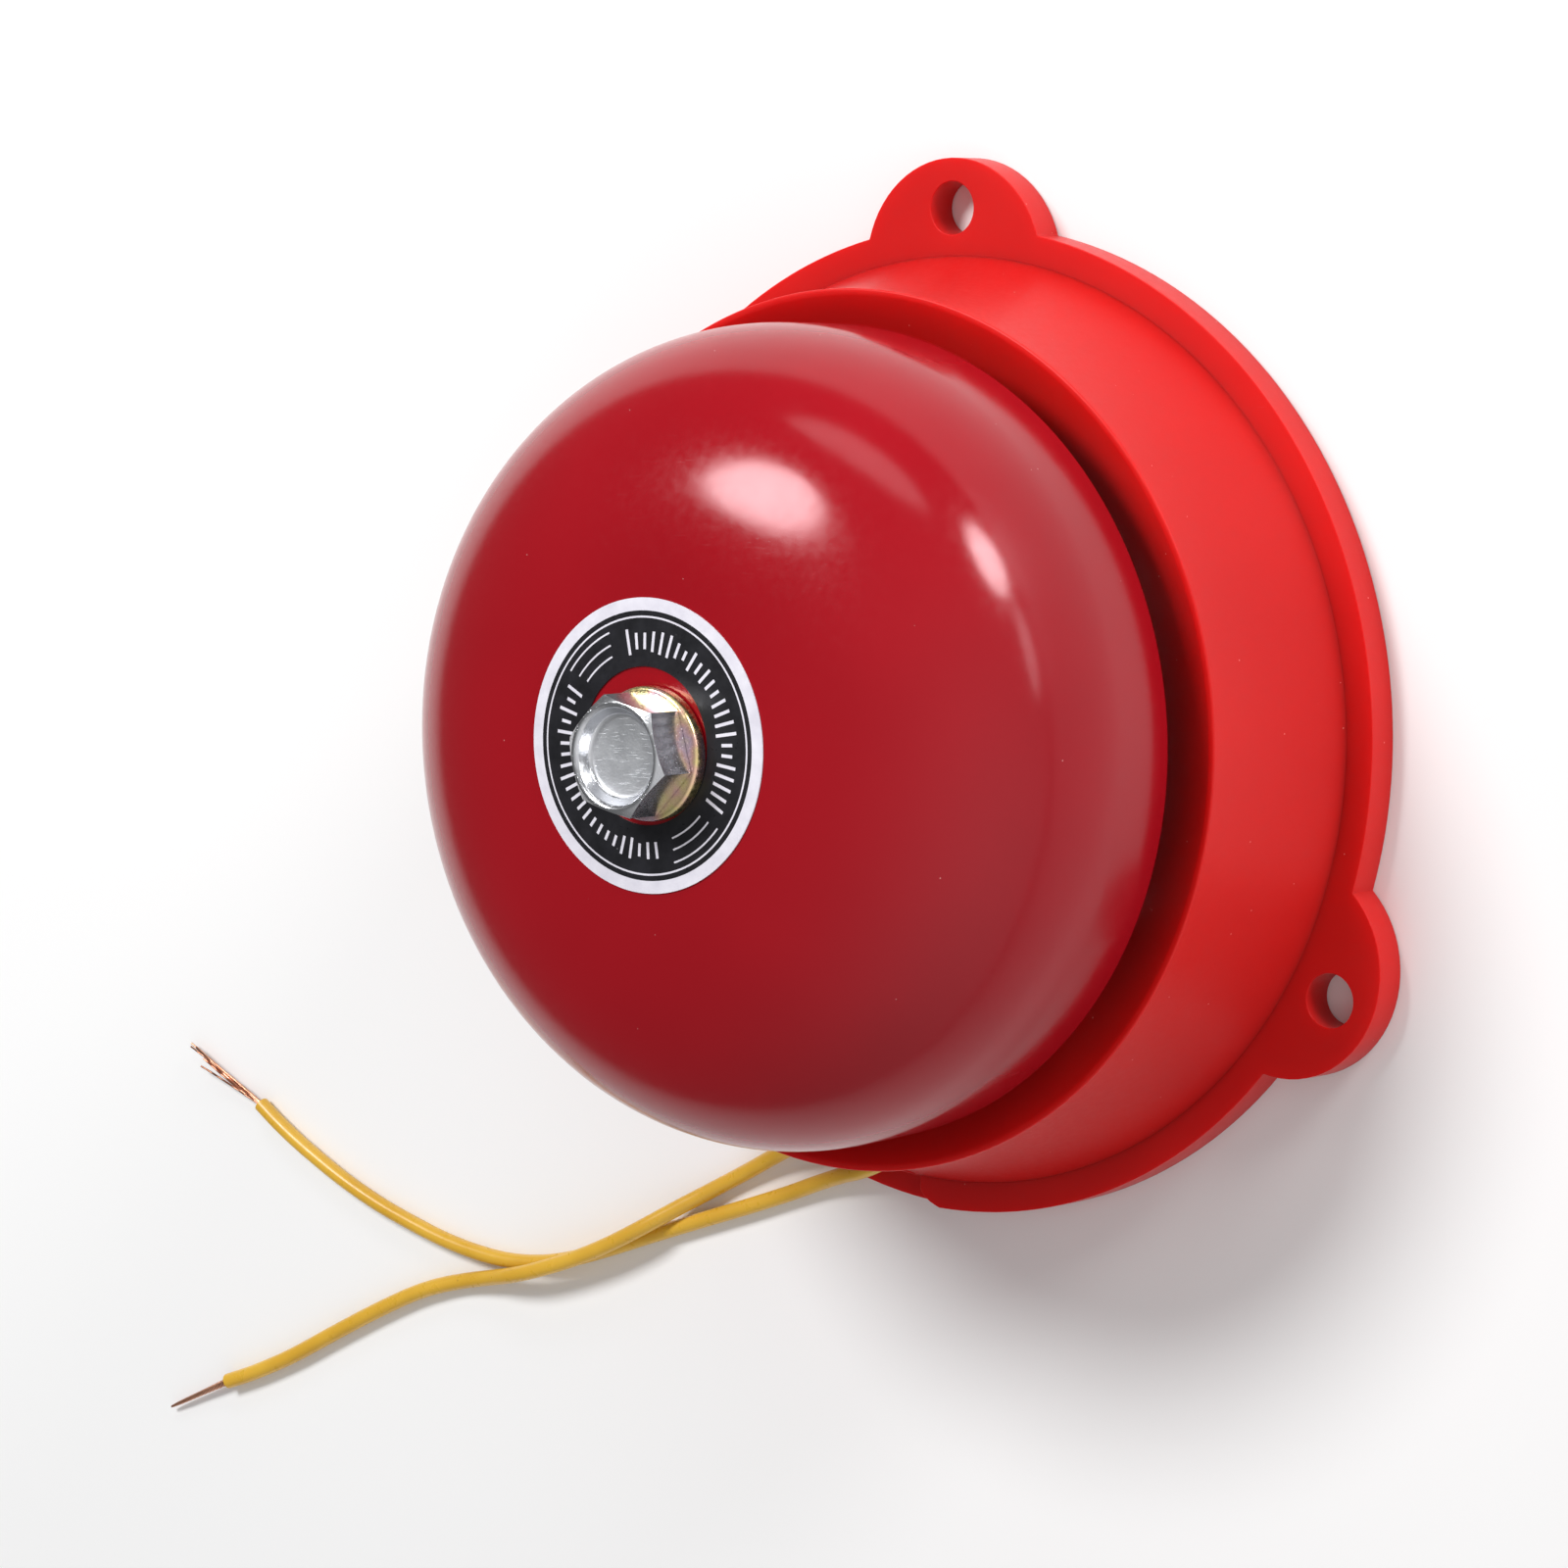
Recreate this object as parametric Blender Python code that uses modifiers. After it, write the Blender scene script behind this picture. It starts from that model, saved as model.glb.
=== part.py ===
"""A 75 mm electric fire alarm bell of the inside-strike kind, lying on its back.

The frame's +Z runs along the gong's axis towards the front, with z = 0 on the back of the base.
+Y points at the top mounting lug and +X to the right, seen from the front. Sizes below are in
millimetres; every helper turns them into metres.
"""

import math

import bmesh
import bpy
from mathutils import Matrix, Vector

MM = 0.001
GAP = 0.3                       # clearance left between pieces that touch

# ---- driving dimensions -------------------------------------------------------------------
GONG_DIAMETER = 75.0
GONG_RIM_Z = 22.2
GONG_SKIRT_TOP_Z = 30.0
GONG_TOP_Z = 49.3
GONG_WALL = 1.4
GONG_BULGE = 0.2                # the skirt is this much wider than the rim
CROWN_FLAT_RADIUS = 8.0
SHOULDER_RADIAL_POWER = 3.6     # superellipse powers of the gong's shoulder
SHOULDER_AXIAL_POWER = 2.04

FLANGE_RADIUS = 46.5
FLANGE_THICKNESS = 3.4
DRUM_FRONT_RADIUS = 40.75
DRUM_FRONT_Z = 20.05
DRUM_FOOT_RADIUS = 43.7
DRUM_WALL = 2.0
DISH_RADIUS = 32.0
DISH_Z = 16.2
HOUSING_OPENING_RADIUS = 22.0

LUG_CIRCLE_RADIUS = 48.2
LUG_HOLE_RADIUS = 2.5
LUG_ARC_CENTRE = 42.7           # each lug is the part of this circle that stands out of the flange
LUG_ARC_RADIUS = 10.2
LUG_COUNT = 3

COVER_RADIUS = 42.0
COVER_THICKNESS = 2.4
COVER_SCREW_CIRCLE = 36.5
PLATE_RADIUS = 31.0
PLATE_THICKNESS = 1.5
PLATE_SCREW_CIRCLE = 28.0
BOSS_RADIUS = 3.0

BOLT_AXIS_RADIUS = 2.9
BOLT_HEAD_FLATS = 9.7
BOLT_HEAD_HEIGHT = 3.9
BOLT_HEX_TURN = math.radians(44.5)
STACK_SHIFT = (1.0, -0.2, 0.0)  # the gong's hole is wide, and it was clamped this far off its post
GONG_HOLE_RADIUS = 4.3
WASHER_RADIUS = 6.0
WASHER_THICKNESS = 1.2
SEAT_RADIUS = 7.5
POST_RADIUS = 4.5

COIL_Y = 15.0
COIL_Z = 29.6
FRAME_HALF_LENGTH = 16.0
FRAME_WIDTH = 17.0
FRAME_SHEET = 1.6
BOBBIN_RADIUS = 9.2
PLUNGER_RADIUS = 3.15
STRIKER_TRAVEL = 4.0
TIP_RADIUS = 2.0

LEAD_RADIUS = 0.8
NOTCH_FIRST_ANGLE = 237.0
NOTCH_LAST_ANGLE = 263.6
NOTCH_WEB = 1.0                 # the flange left under the lead notch

# ---- levels worked out from them ----------------------------------------------------------
PLATE_Z = DISH_Z + GAP
PLATE_TOP = PLATE_Z + PLATE_THICKNESS
FRAME_Z = PLATE_TOP + GAP
FRONT_WALL_Z = DISH_Z - DRUM_WALL
LEDGE_Z = COVER_THICKNESS + GAP
WASHER_Z = GONG_TOP_Z + GAP
BOLT_HEAD_Z = WASHER_Z + WASHER_THICKNESS + GAP
BOLT_TOP_Z = BOLT_HEAD_Z + BOLT_HEAD_HEIGHT
SEAT_WASHER_TOP = GONG_TOP_Z - GONG_WALL - GAP
POST_TOP = SEAT_WASHER_TOP - 1.0 - GAP
GONG_SKIRT_RADIUS = GONG_DIAMETER / 2 + GONG_BULGE
GONG_INNER_RADIUS = GONG_SKIRT_RADIUS - GONG_WALL
TIP_CLEARANCE = 0.35            # to the gong at the end of the stroke
TIP_CENTRE_LIMIT = math.sqrt((GONG_INNER_RADIUS - TIP_RADIUS - TIP_CLEARANCE) ** 2 - COIL_Y ** 2)
TIP_END_REST = TIP_CENTRE_LIMIT + TIP_RADIUS - STRIKER_TRAVEL

PLATE_SCREW_ANGLES = (90.0, 210.0, 330.0)
COVER_SCREW_ANGLES = (30.0, 150.0, 270.0)
FRAME_SCREW_X = (-9.0, 9.0)
LEAD_HOLE_CENTRE = (-12.0, -4.0)
LEAD_HOLE_RADIUS = 3.2
SLEEVE_X = (-9.4, -5.2)
SLEEVE_Z = 7.0
SLEEVE_INNER_Y = -19.2
SLEEVE_OUTER_Y = -31.2
CLAMP_X = (-13.5, -1.1)
CLAMP_Y = -25.0

ROUND_STEPS = 72
SMALL_STEPS = 24
CUTTER_START_ANGLE = 1.7

# ---- routes of the two free leads, in millimetres ------------------------------------------
# Each runs from its splice sleeve inside the base, through the slot in the drum's foot, over
# the notch in the flange and along the surface that the bell lies on. Lead 1 passes over lead 2.
LEAD_ROUTE_1 = [
    (-9.4, -31.5, 7.0), (-9.6, -34.0, 6.2), (-11.1, -37.0, 4.7), (-13.9, -38.95, 3.8),
    (-17.2, -40.35, 3.4), (-20.5, -41.7, 2.6), (-24.0, -43.15, 1.5), (-28.4, -45.25, 0.84),
    (-32.4, -47.2, 0.86), (-36.4, -49.3, 1.7), (-40.4, -51.5, 2.65), (-44.6, -53.5, 2.8),
    (-49.2, -55.3, 2.8), (-54.4, -56.9, 2.75), (-58.0, -57.75, 2.3), (-61.5, -58.4, 1.4),
    (-65.6, -59.15, 0.84), (-69.5, -60.1, 0.82), (-73.2, -61.4, 0.82), (-78.4, -63.7, 0.82),
    (-83.8, -66.3, 0.82), (-89.3, -69.0, 0.82), (-94.6, -71.2, 0.82), (-98.7, -72.6, 0.82),
]
LEAD_ROUTE_2 = [
    (-5.2, -31.5, 7.0), (-5.2, -34.2, 6.2), (-5.8, -37.2, 4.8), (-7.2, -40.1, 3.8),
    (-9.5, -42.4, 3.35), (-12.3, -43.6, 2.75), (-15.4, -44.4, 2.0), (-19.0, -45.5, 1.15),
    (-23.0, -46.9, 0.83), (-27.9, -48.5, 0.82), (-34.2, -50.45, 0.82), (-40.1, -52.3, 0.82),
    (-45.8, -54.15, 0.82), (-50.8, -55.6, 0.82), (-55.0, -56.35, 0.82), (-59.2, -56.5, 0.82),
    (-63.6, -56.0, 0.82), (-68.0, -55.05, 0.82), (-72.4, -53.7, 0.82), (-77.0, -52.05, 0.82),
    (-82.0, -49.8, 0.82), (-87.2, -46.95, 0.82), (-90.6, -44.8, 0.82), (-93.2, -42.9, 0.82),
]
BARE_END_TIP_1 = (-107.3, -76.2, 0.55)
BARE_END_TIP_2 = (-103.6, -37.4, 0.55)
LEAD_POINT_SPACING = 3.0

COIL_LEAD_ROUTE_1 = [
    (-9.0, 5.3, 27.5), (-9.6, 3.0, 25.5), (-10.6, -1.0, 22.5), (-11.0, -3.4, 19.5),
    (-11.0, -4.0, 16.8), (-10.3, -4.2, 13.0), (-8.4, -4.0, 9.8), (-6.2, -4.2, 7.8),
    (-5.2, -5.4, 7.05), (-5.2, -6.6, 7.0),
]
COIL_LEAD_ROUTE_2 = [
    (-11.5, 5.3, 26.5), (-12.4, 2.5, 24.5), (-13.0, -1.5, 21.5), (-13.0, -3.8, 18.5),
    (-13.0, -4.3, 16.0), (-12.6, -6.5, 12.5), (-11.2, -11.0, 9.0), (-9.8, -15.5, 7.3),
    (-9.4, -18.9, 7.0),
]


# ---- scene, materials and small helpers ----------------------------------------------------
def clear_scene():
    for old in list(bpy.data.objects):
        bpy.data.objects.remove(old, do_unlink=True)


def new_collection(name):
    made = bpy.data.collections.new(name)
    bpy.context.scene.collection.children.link(made)
    return made


clear_scene()
BELL = new_collection("fire_alarm_bell")
CUTTERS = new_collection("bell_cutters")

# finish: colour, roughness, metallic
RED_PAINT = ((0.42, 0.01, 0.02), 0.18, 0.0)
RED_PLASTIC = ((0.65, 0.01, 0.012), 0.35, 0.0)
ZINC = ((0.72, 0.73, 0.75), 0.28, 1.0)
YELLOW_ZINC = ((0.72, 0.62, 0.36), 0.3, 1.0)
STEEL = ((0.55, 0.56, 0.58), 0.35, 1.0)
BRASS = ((0.75, 0.56, 0.25), 0.25, 1.0)
COPPER = ((0.72, 0.36, 0.22), 0.3, 1.0)
BLACK_PLASTIC = ((0.03, 0.03, 0.035), 0.45, 0.0)
WHITE_NYLON = ((0.8, 0.78, 0.7), 0.4, 0.0)
RUBBER = ((0.02, 0.02, 0.02), 0.8, 0.0)
YELLOW_PVC = ((0.8, 0.52, 0.04), 0.4, 0.0)
TAPE = ((0.75, 0.6, 0.12), 0.5, 0.0)
LABEL_INK = ((0.02, 0.02, 0.025), 0.35, 0.0)


def give_material(item, finish):
    colour, roughness, metallic = finish
    skin = bpy.data.materials.new(item.name + "_finish")
    skin.use_nodes = True
    shader = skin.node_tree.nodes["Principled BSDF"]
    shader.inputs["Base Color"].default_value = (*colour, 1.0)
    shader.inputs["Roughness"].default_value = roughness
    shader.inputs["Metallic"].default_value = metallic
    skin.diffuse_color = (*colour, 1.0)
    item.data.materials.clear()
    item.data.materials.append(skin)


def link_part(name, data, finish):
    item = bpy.data.objects.new(name, data)
    BELL.objects.link(item)
    give_material(item, finish)
    return item


def link_cutter(name, data):
    item = bpy.data.objects.new(name, data)
    CUTTERS.objects.link(item)
    item.hide_render = True
    item.display_type = "WIRE"
    return item


def turned_mesh(name, profile, closed=True):
    """An edge loop of (radius, height) points in millimetres, ready for a Screw modifier."""
    mesh = bpy.data.meshes.new(name)
    points = [(radius * MM, 0.0, height * MM) for radius, height in profile]
    edges = [(index, index + 1) for index in range(len(points) - 1)]
    if closed:
        edges.append((len(points) - 1, 0))
    mesh.from_pydata(points, edges, [])
    return mesh


def spin(item, steps):
    screw = item.modifiers.new("turn", "SCREW")
    screw.axis = "Z"
    screw.angle = math.tau
    screw.steps = steps
    screw.render_steps = steps
    screw.use_merge_vertices = True
    screw.merge_threshold = 0.00001
    screw.use_smooth_shade = True


def lay_along(item, axis, centre):
    """Turns a piece modelled along +Z so that it lies along the axis, and moves it."""
    turn = Vector((0.0, 0.0, 1.0)).rotation_difference(Vector(axis))
    item.rotation_mode = "QUATERNION"
    item.rotation_quaternion = turn
    item.location = Vector(centre) * MM


def turned_part(name, profile, finish, steps=SMALL_STEPS, closed=True, axis=(0, 0, 1), centre=(0, 0, 0)):
    item = link_part(name, turned_mesh(name, profile, closed), finish)
    spin(item, steps)
    lay_along(item, axis, centre)
    return item


def turned_cutter(name, profile, steps=SMALL_STEPS, closed=True, axis=(0, 0, 1), centre=(0, 0, 0)):
    """A turned tool. It starts at an odd angle, so that none of its corners line up with the part's."""
    mesh = turned_mesh(name, profile, closed)
    mesh.transform(Matrix.Rotation(math.radians(CUTTER_START_ANGLE), 4, "Z"))
    item = link_cutter(name, mesh)
    spin(item, steps)
    lay_along(item, axis, centre)
    return item


def ring_profile(inner, outer, low, high):
    return [(inner, high), (outer, high), (outer, low), (inner, low)]


def solid_profile(radius, low, high):
    return [(0.0, high), (radius, high), (radius, low), (0.0, low)]


def round_cutter(name, radius, low, high, steps=SMALL_STEPS, axis=(0, 0, 1), centre=(0, 0, 0)):
    return turned_cutter(name, solid_profile(radius, low, high), steps, False, axis, centre)


def polygon_prism_mesh(name, outline, holes, low, high):
    """A filled 2D curve, extruded by half its thickness each way, made into a welded mesh."""
    curve = bpy.data.curves.new(name, "CURVE")
    curve.dimensions = "2D"
    curve.fill_mode = "BOTH"
    curve.extrude = (high - low) / 2 * MM
    for loop in [outline] + list(holes):
        spline = curve.splines.new("POLY")
        spline.points.add(len(loop) - 1)
        for point, (x, y) in zip(spline.points, loop):
            point.co = (x * MM, y * MM, 0.0, 1.0)
        spline.use_cyclic_u = True
    holder = bpy.data.objects.new(name + "_outline", curve)
    bpy.context.scene.collection.objects.link(holder)
    holder.location.z = (high + low) / 2 * MM
    bpy.context.view_layer.update()
    graph = bpy.context.evaluated_depsgraph_get()
    mesh = bpy.data.meshes.new_from_object(holder.evaluated_get(graph))
    mesh.transform(holder.matrix_world)
    shape = bmesh.new()
    shape.from_mesh(mesh)
    bmesh.ops.remove_doubles(shape, verts=shape.verts, dist=0.000001)
    bmesh.ops.recalc_face_normals(shape, faces=shape.faces)
    shape.to_mesh(mesh)
    shape.free()
    bpy.data.objects.remove(holder, do_unlink=True)
    return mesh


def use_boolean(item, tool, operation):
    step = item.modifiers.new(operation.lower() + "_" + tool.name, "BOOLEAN")
    step.operation = operation
    step.solver = "EXACT"
    step.object = tool


def cut(item, *tools):
    for tool in tools:
        use_boolean(item, tool, "DIFFERENCE")


def join(item, *tools):
    for tool in tools:
        use_boolean(item, tool, "UNION")


def polar(radius, degrees, z=0.0):
    angle = math.radians(degrees)
    return (radius * math.cos(angle), radius * math.sin(angle), z)


def circle_points(radius, steps, centre=(0.0, 0.0)):
    return [(centre[0] + radius * math.cos(math.tau * k / steps),
             centre[1] + radius * math.sin(math.tau * k / steps)) for k in range(steps)]


def hexagon_points(flats, turn=0.0, centre=(0.0, 0.0)):
    corner = flats / math.sqrt(3.0)
    return [(centre[0] + corner * math.cos(turn + math.tau * k / 6),
             centre[1] + corner * math.sin(turn + math.tau * k / 6)) for k in range(6)]


def smooth_route(points, spacing):
    """Points read at an even spacing from a Catmull-Rom curve through the route's own points."""
    ends = [2 * Vector(points[0]) - Vector(points[1]), 2 * Vector(points[-1]) - Vector(points[-2])]
    knots = [ends[0]] + [Vector(p) for p in points] + [ends[1]]
    fine = []
    for a, b, c, d in zip(knots, knots[1:], knots[2:], knots[3:]):
        for step in range(20):
            t = step / 20
            fine.append(0.5 * (2 * b + (c - a) * t + (2 * a - 5 * b + 4 * c - d) * t ** 2
                               + (3 * b - a - 3 * c + d) * t ** 3))
    fine.append(knots[-2])
    travelled = [0.0]
    for first, second in zip(fine, fine[1:]):
        travelled.append(travelled[-1] + (second - first).length)
    count = max(4, round(travelled[-1] / spacing))
    picked = []
    index = 0
    for k in range(count + 1):
        target = travelled[-1] * k / count
        while index < len(travelled) - 2 and travelled[index + 1] < target:
            index += 1
        share = (target - travelled[index]) / (travelled[index + 1] - travelled[index])
        picked.append(fine[index].lerp(fine[index + 1], min(1.0, share)))
    return picked


def wire_part(name, points, radius, finish):
    curve = bpy.data.curves.new(name, "CURVE")
    curve.dimensions = "3D"
    curve.bevel_depth = radius * MM
    curve.bevel_resolution = 2
    curve.use_fill_caps = True
    spline = curve.splines.new("POLY")
    spline.points.add(len(points) - 1)
    for point, place in zip(spline.points, points):
        point.co = (place[0] * MM, place[1] * MM, place[2] * MM, 1.0)
    return link_part(name, curve, finish)


# ---- gong and what clamps it ---------------------------------------------------------------
def shoulder_point(radius, height, share):
    """A point on the gong's superellipse shoulder; share runs from 0 at the skirt to 1 on top."""
    angle = share * math.pi / 2
    out = radius * math.cos(angle) ** (2 / SHOULDER_RADIAL_POWER)
    up = GONG_SKIRT_TOP_Z + (height - GONG_SKIRT_TOP_Z) * math.sin(angle) ** (2 / SHOULDER_AXIAL_POWER)
    return out, up


def shoulder(radius, height, count):
    """Points from the flat crown down to the top of the skirt."""
    flat_share = math.acos((CROWN_FLAT_RADIUS / radius) ** (SHOULDER_RADIAL_POWER / 2)) / (math.pi / 2)
    return [shoulder_point(radius, height, flat_share * (1 - k / count)) for k in range(count + 1)]


def gong_outer_height(radius):
    """Height of the gong's outside at a radius on its shoulder."""
    angle = math.acos((radius / GONG_SKIRT_RADIUS) ** (SHOULDER_RADIAL_POWER / 2))
    return shoulder_point(GONG_SKIRT_RADIUS, GONG_TOP_Z, angle / (math.pi / 2))[1]


def make_gong():
    hole = GONG_HOLE_RADIUS
    rim = GONG_DIAMETER / 2
    edge = 0.4
    outer = shoulder(GONG_SKIRT_RADIUS, GONG_TOP_Z, 10)
    inner = shoulder(GONG_INNER_RADIUS, GONG_TOP_Z - GONG_WALL, 7)
    profile = [(hole, GONG_TOP_Z)] + outer
    profile += [(rim, GONG_RIM_Z + edge), (rim - edge, GONG_RIM_Z)]
    profile += [(rim - GONG_WALL + edge, GONG_RIM_Z), (rim - GONG_WALL, GONG_RIM_Z + edge)]
    profile += inner[::-1] + [(hole, GONG_TOP_Z - GONG_WALL)]
    return turned_part("gong", profile, RED_PAINT, ROUND_STEPS)


def make_label():
    inner = 7.35
    outer = 13.14
    sheet = 0.25
    radii = [inner, (inner + outer) / 2, outer]
    top = [(r, gong_outer_height(max(r, CROWN_FLAT_RADIUS)) + GAP + sheet) for r in radii]
    under = [(r, z - sheet) for r, z in top[::-1]]
    return turned_part("label_ring", top + under, LABEL_INK, 48)


def make_bolt():
    corner = BOLT_HEAD_FLATS / math.sqrt(3.0)
    recess_rim = 4.45
    recess_floor = 3.85
    recess_depth = 1.5
    chamfer = 0.55
    shank_end = POST_TOP - 8.4
    profile = [
        (0.0, BOLT_TOP_Z - recess_depth),
        (recess_floor, BOLT_TOP_Z - recess_depth),
        (recess_rim, BOLT_TOP_Z),
        (recess_rim + 0.2, BOLT_TOP_Z),
        (corner + 0.1, BOLT_TOP_Z - chamfer),
        (corner + 0.1, BOLT_HEAD_Z),
        (BOLT_AXIS_RADIUS, BOLT_HEAD_Z),
        (BOLT_AXIS_RADIUS, shank_end + 0.5),
        (BOLT_AXIS_RADIUS - 0.5, shank_end),
        (0.0, shank_end),
    ]
    bolt = turned_part("gong_bolt", profile, ZINC, 36, closed=False, centre=STACK_SHIFT)
    hexagon = hexagon_points(BOLT_HEAD_FLATS, BOLT_HEX_TURN, STACK_SHIFT)
    block = polygon_prism_mesh("bolt_hexagon", hexagon, [], shank_end - 2.0, BOLT_TOP_Z + 2.0)
    use_boolean(bolt, link_cutter("bolt_hexagon", block), "INTERSECT")
    return bolt


def make_gong_fixings():
    washer_bore = BOLT_AXIS_RADIUS + 0.4
    washer = ring_profile(washer_bore, WASHER_RADIUS, WASHER_Z, WASHER_Z + WASHER_THICKNESS)
    turned_part("gong_washer", washer, YELLOW_ZINC, 36, centre=STACK_SHIFT)
    seat = ring_profile(washer_bore, SEAT_RADIUS, POST_TOP + GAP, SEAT_WASHER_TOP)
    turned_part("seat_washer", seat, RUBBER, 36, centre=STACK_SHIFT)
    stud_radius = 2.6
    stud_end = 11.0
    bore_end = POST_TOP - 10.4
    profile = [
        (0.0, bore_end), (washer_bore, bore_end), (washer_bore, POST_TOP), (POST_RADIUS, POST_TOP),
        (POST_RADIUS, FRAME_Z), (stud_radius, FRAME_Z), (stud_radius, stud_end), (0.0, stud_end),
    ]
    turned_part("centre_post", profile, STEEL, SMALL_STEPS, closed=False, centre=STACK_SHIFT)
    lock_top = PLATE_Z - GAP
    lock_thickness = 0.9
    nut_top = lock_top - lock_thickness - GAP
    nut_height = 3.4
    bore = stud_radius + GAP
    turned_part("post_lock_washer", ring_profile(bore, 4.6, lock_top - lock_thickness, lock_top), ZINC,
                centre=STACK_SHIFT)
    nut_outline = hexagon_points(8.0, 0.0, STACK_SHIFT)
    nut_bore = circle_points(bore, SMALL_STEPS, STACK_SHIFT)
    nut = polygon_prism_mesh("post_nut", nut_outline, [nut_bore], nut_top - nut_height, nut_top)
    link_part("post_nut", nut, ZINC)


# ---- base housing --------------------------------------------------------------------------
def drum_radius(z):
    """The drum's outside: it flares out towards the flange."""
    share = (DRUM_FRONT_Z - z) / (DRUM_FRONT_Z - FLANGE_THICKNESS)
    return DRUM_FRONT_RADIUS + (DRUM_FOOT_RADIUS - DRUM_FRONT_RADIUS) * max(0.0, share) ** 2.2


def flange_outline():
    """The flange's circle with three round lugs, each an arc of a smaller circle that stands out of it."""
    squares = LUG_ARC_CENTRE ** 2 + FLANGE_RADIUS ** 2 - LUG_ARC_RADIUS ** 2
    lug_foot = math.acos(squares / (2 * LUG_ARC_CENTRE * FLANGE_RADIUS))
    lug_swing = math.asin(FLANGE_RADIUS * math.sin(lug_foot) / LUG_ARC_RADIUS)
    pitch = math.tau / LUG_COUNT
    points = []
    for lug in range(LUG_COUNT):
        middle = math.pi / 2 + lug * pitch
        out = Vector((math.cos(middle), math.sin(middle)))
        side = Vector((-out.y, out.x))
        for k in range(15):
            swing = lug_swing * (k / 7 - 1)
            along = LUG_ARC_CENTRE + LUG_ARC_RADIUS * math.cos(swing)
            across = LUG_ARC_RADIUS * math.sin(swing)
            points.append(tuple(out * along + side * across))
        arc_steps = 18
        for k in range(1, arc_steps):
            angle = middle + lug_foot + (pitch - 2 * lug_foot) * k / arc_steps
            points.append((FLANGE_RADIUS * math.cos(angle), FLANGE_RADIUS * math.sin(angle)))
    return points


def sector_outline(inner, outer, first, last, steps=8):
    sweep = [math.radians(first + (last - first) * k / steps) for k in range(steps + 1)]
    far = [(outer * math.cos(a), outer * math.sin(a)) for a in sweep]
    near = [(inner * math.cos(a), inner * math.sin(a)) for a in sweep[::-1]]
    return far + near


def make_housing():
    rebate = COVER_RADIUS + GAP
    lug_holes = [circle_points(LUG_HOLE_RADIUS, SMALL_STEPS, polar(LUG_CIRCLE_RADIUS, 90 + 120 * k)[:2])
                 for k in range(LUG_COUNT)]
    flange = polygon_prism_mesh("base_housing", flange_outline(),
                                [circle_points(rebate, ROUND_STEPS)] + lug_holes, 0.0, FLANGE_THICKNESS)
    housing = link_part("base_housing", flange, RED_PLASTIC)

    wall_levels = [DRUM_FRONT_Z - 0.4, 16.0, 12.0, 8.5, 5.8, 4.4, FLANGE_THICKNESS]
    inner_levels = [LEDGE_Z, 6.0, 11.0, FRONT_WALL_Z + 2.6]
    profile = [(DRUM_FRONT_RADIUS - 0.5, DRUM_FRONT_Z)]
    profile += [(drum_radius(z), z) for z in wall_levels]
    profile += [(DRUM_FOOT_RADIUS, 1.6), (COVER_RADIUS + 0.9, 1.6), (COVER_RADIUS + 0.9, LEDGE_Z)]
    profile += [(drum_radius(z) - DRUM_WALL - 0.6, z) for z in inner_levels]
    profile += [(DISH_RADIUS, FRONT_WALL_Z), (HOUSING_OPENING_RADIUS, FRONT_WALL_Z)]
    profile += [(HOUSING_OPENING_RADIUS, DISH_Z), (DISH_RADIUS, DISH_Z)]
    drum = turned_cutter("drum_shell", profile, ROUND_STEPS)
    join(housing, drum)
    notch_outline = sector_outline(DRUM_FOOT_RADIUS + 0.15, 52.0, NOTCH_FIRST_ANGLE, NOTCH_LAST_ANGLE)
    notch = polygon_prism_mesh("lead_notch", notch_outline, [], NOTCH_WEB, FLANGE_THICKNESS + 1.0)
    slot = polygon_prism_mesh("lead_slot", sector_outline(36.0, 45.0, 242.0, 263.0), [], 2.2, 5.4)
    cut(housing, link_cutter("lead_notch", notch), link_cutter("lead_slot", slot))

    for k, angle in enumerate(PLATE_SCREW_ANGLES, 1):
        spot = polar(PLATE_SCREW_CIRCLE, angle)
        join(housing, round_cutter(f"plate_boss_{k}", BOSS_RADIUS, 8.6, FRONT_WALL_Z + 1.0, centre=spot))
        cut(housing, round_cutter(f"plate_pilot_{k}", 1.5, 9.2, DISH_Z + 2.0, 16, centre=spot))
    for k, angle in enumerate(COVER_SCREW_ANGLES, 1):
        spot = polar(COVER_SCREW_CIRCLE, angle)
        join(housing, round_cutter(f"cover_boss_{k}", BOSS_RADIUS, LEDGE_Z + 0.2, 16.9, centre=spot))
        cut(housing, round_cutter(f"cover_pilot_{k}", 1.4, 0.0, 12.6, 16, centre=spot))
    for k, x in enumerate(CLAMP_X, 1):
        spot = (x, CLAMP_Y, 0.0)
        join(housing, round_cutter(f"clamp_boss_{k}", 2.0, 9.0, FRONT_WALL_Z + 1.0, centre=spot))
        cut(housing, round_cutter(f"clamp_pilot_{k}", 1.2, 5.0, 12.4, 16, centre=spot))

    return housing


def pan_screw_profile(head_radius, head_height, shank_radius, length):
    """A pan-head screw whose head's underside is at 0, with its shank running down."""
    return [
        (0.0, head_height), (head_radius * 0.6, head_height), (head_radius, head_height * 0.45),
        (head_radius, 0.0), (shank_radius, 0.0), (shank_radius, -length), (0.0, -length),
    ]


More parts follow.
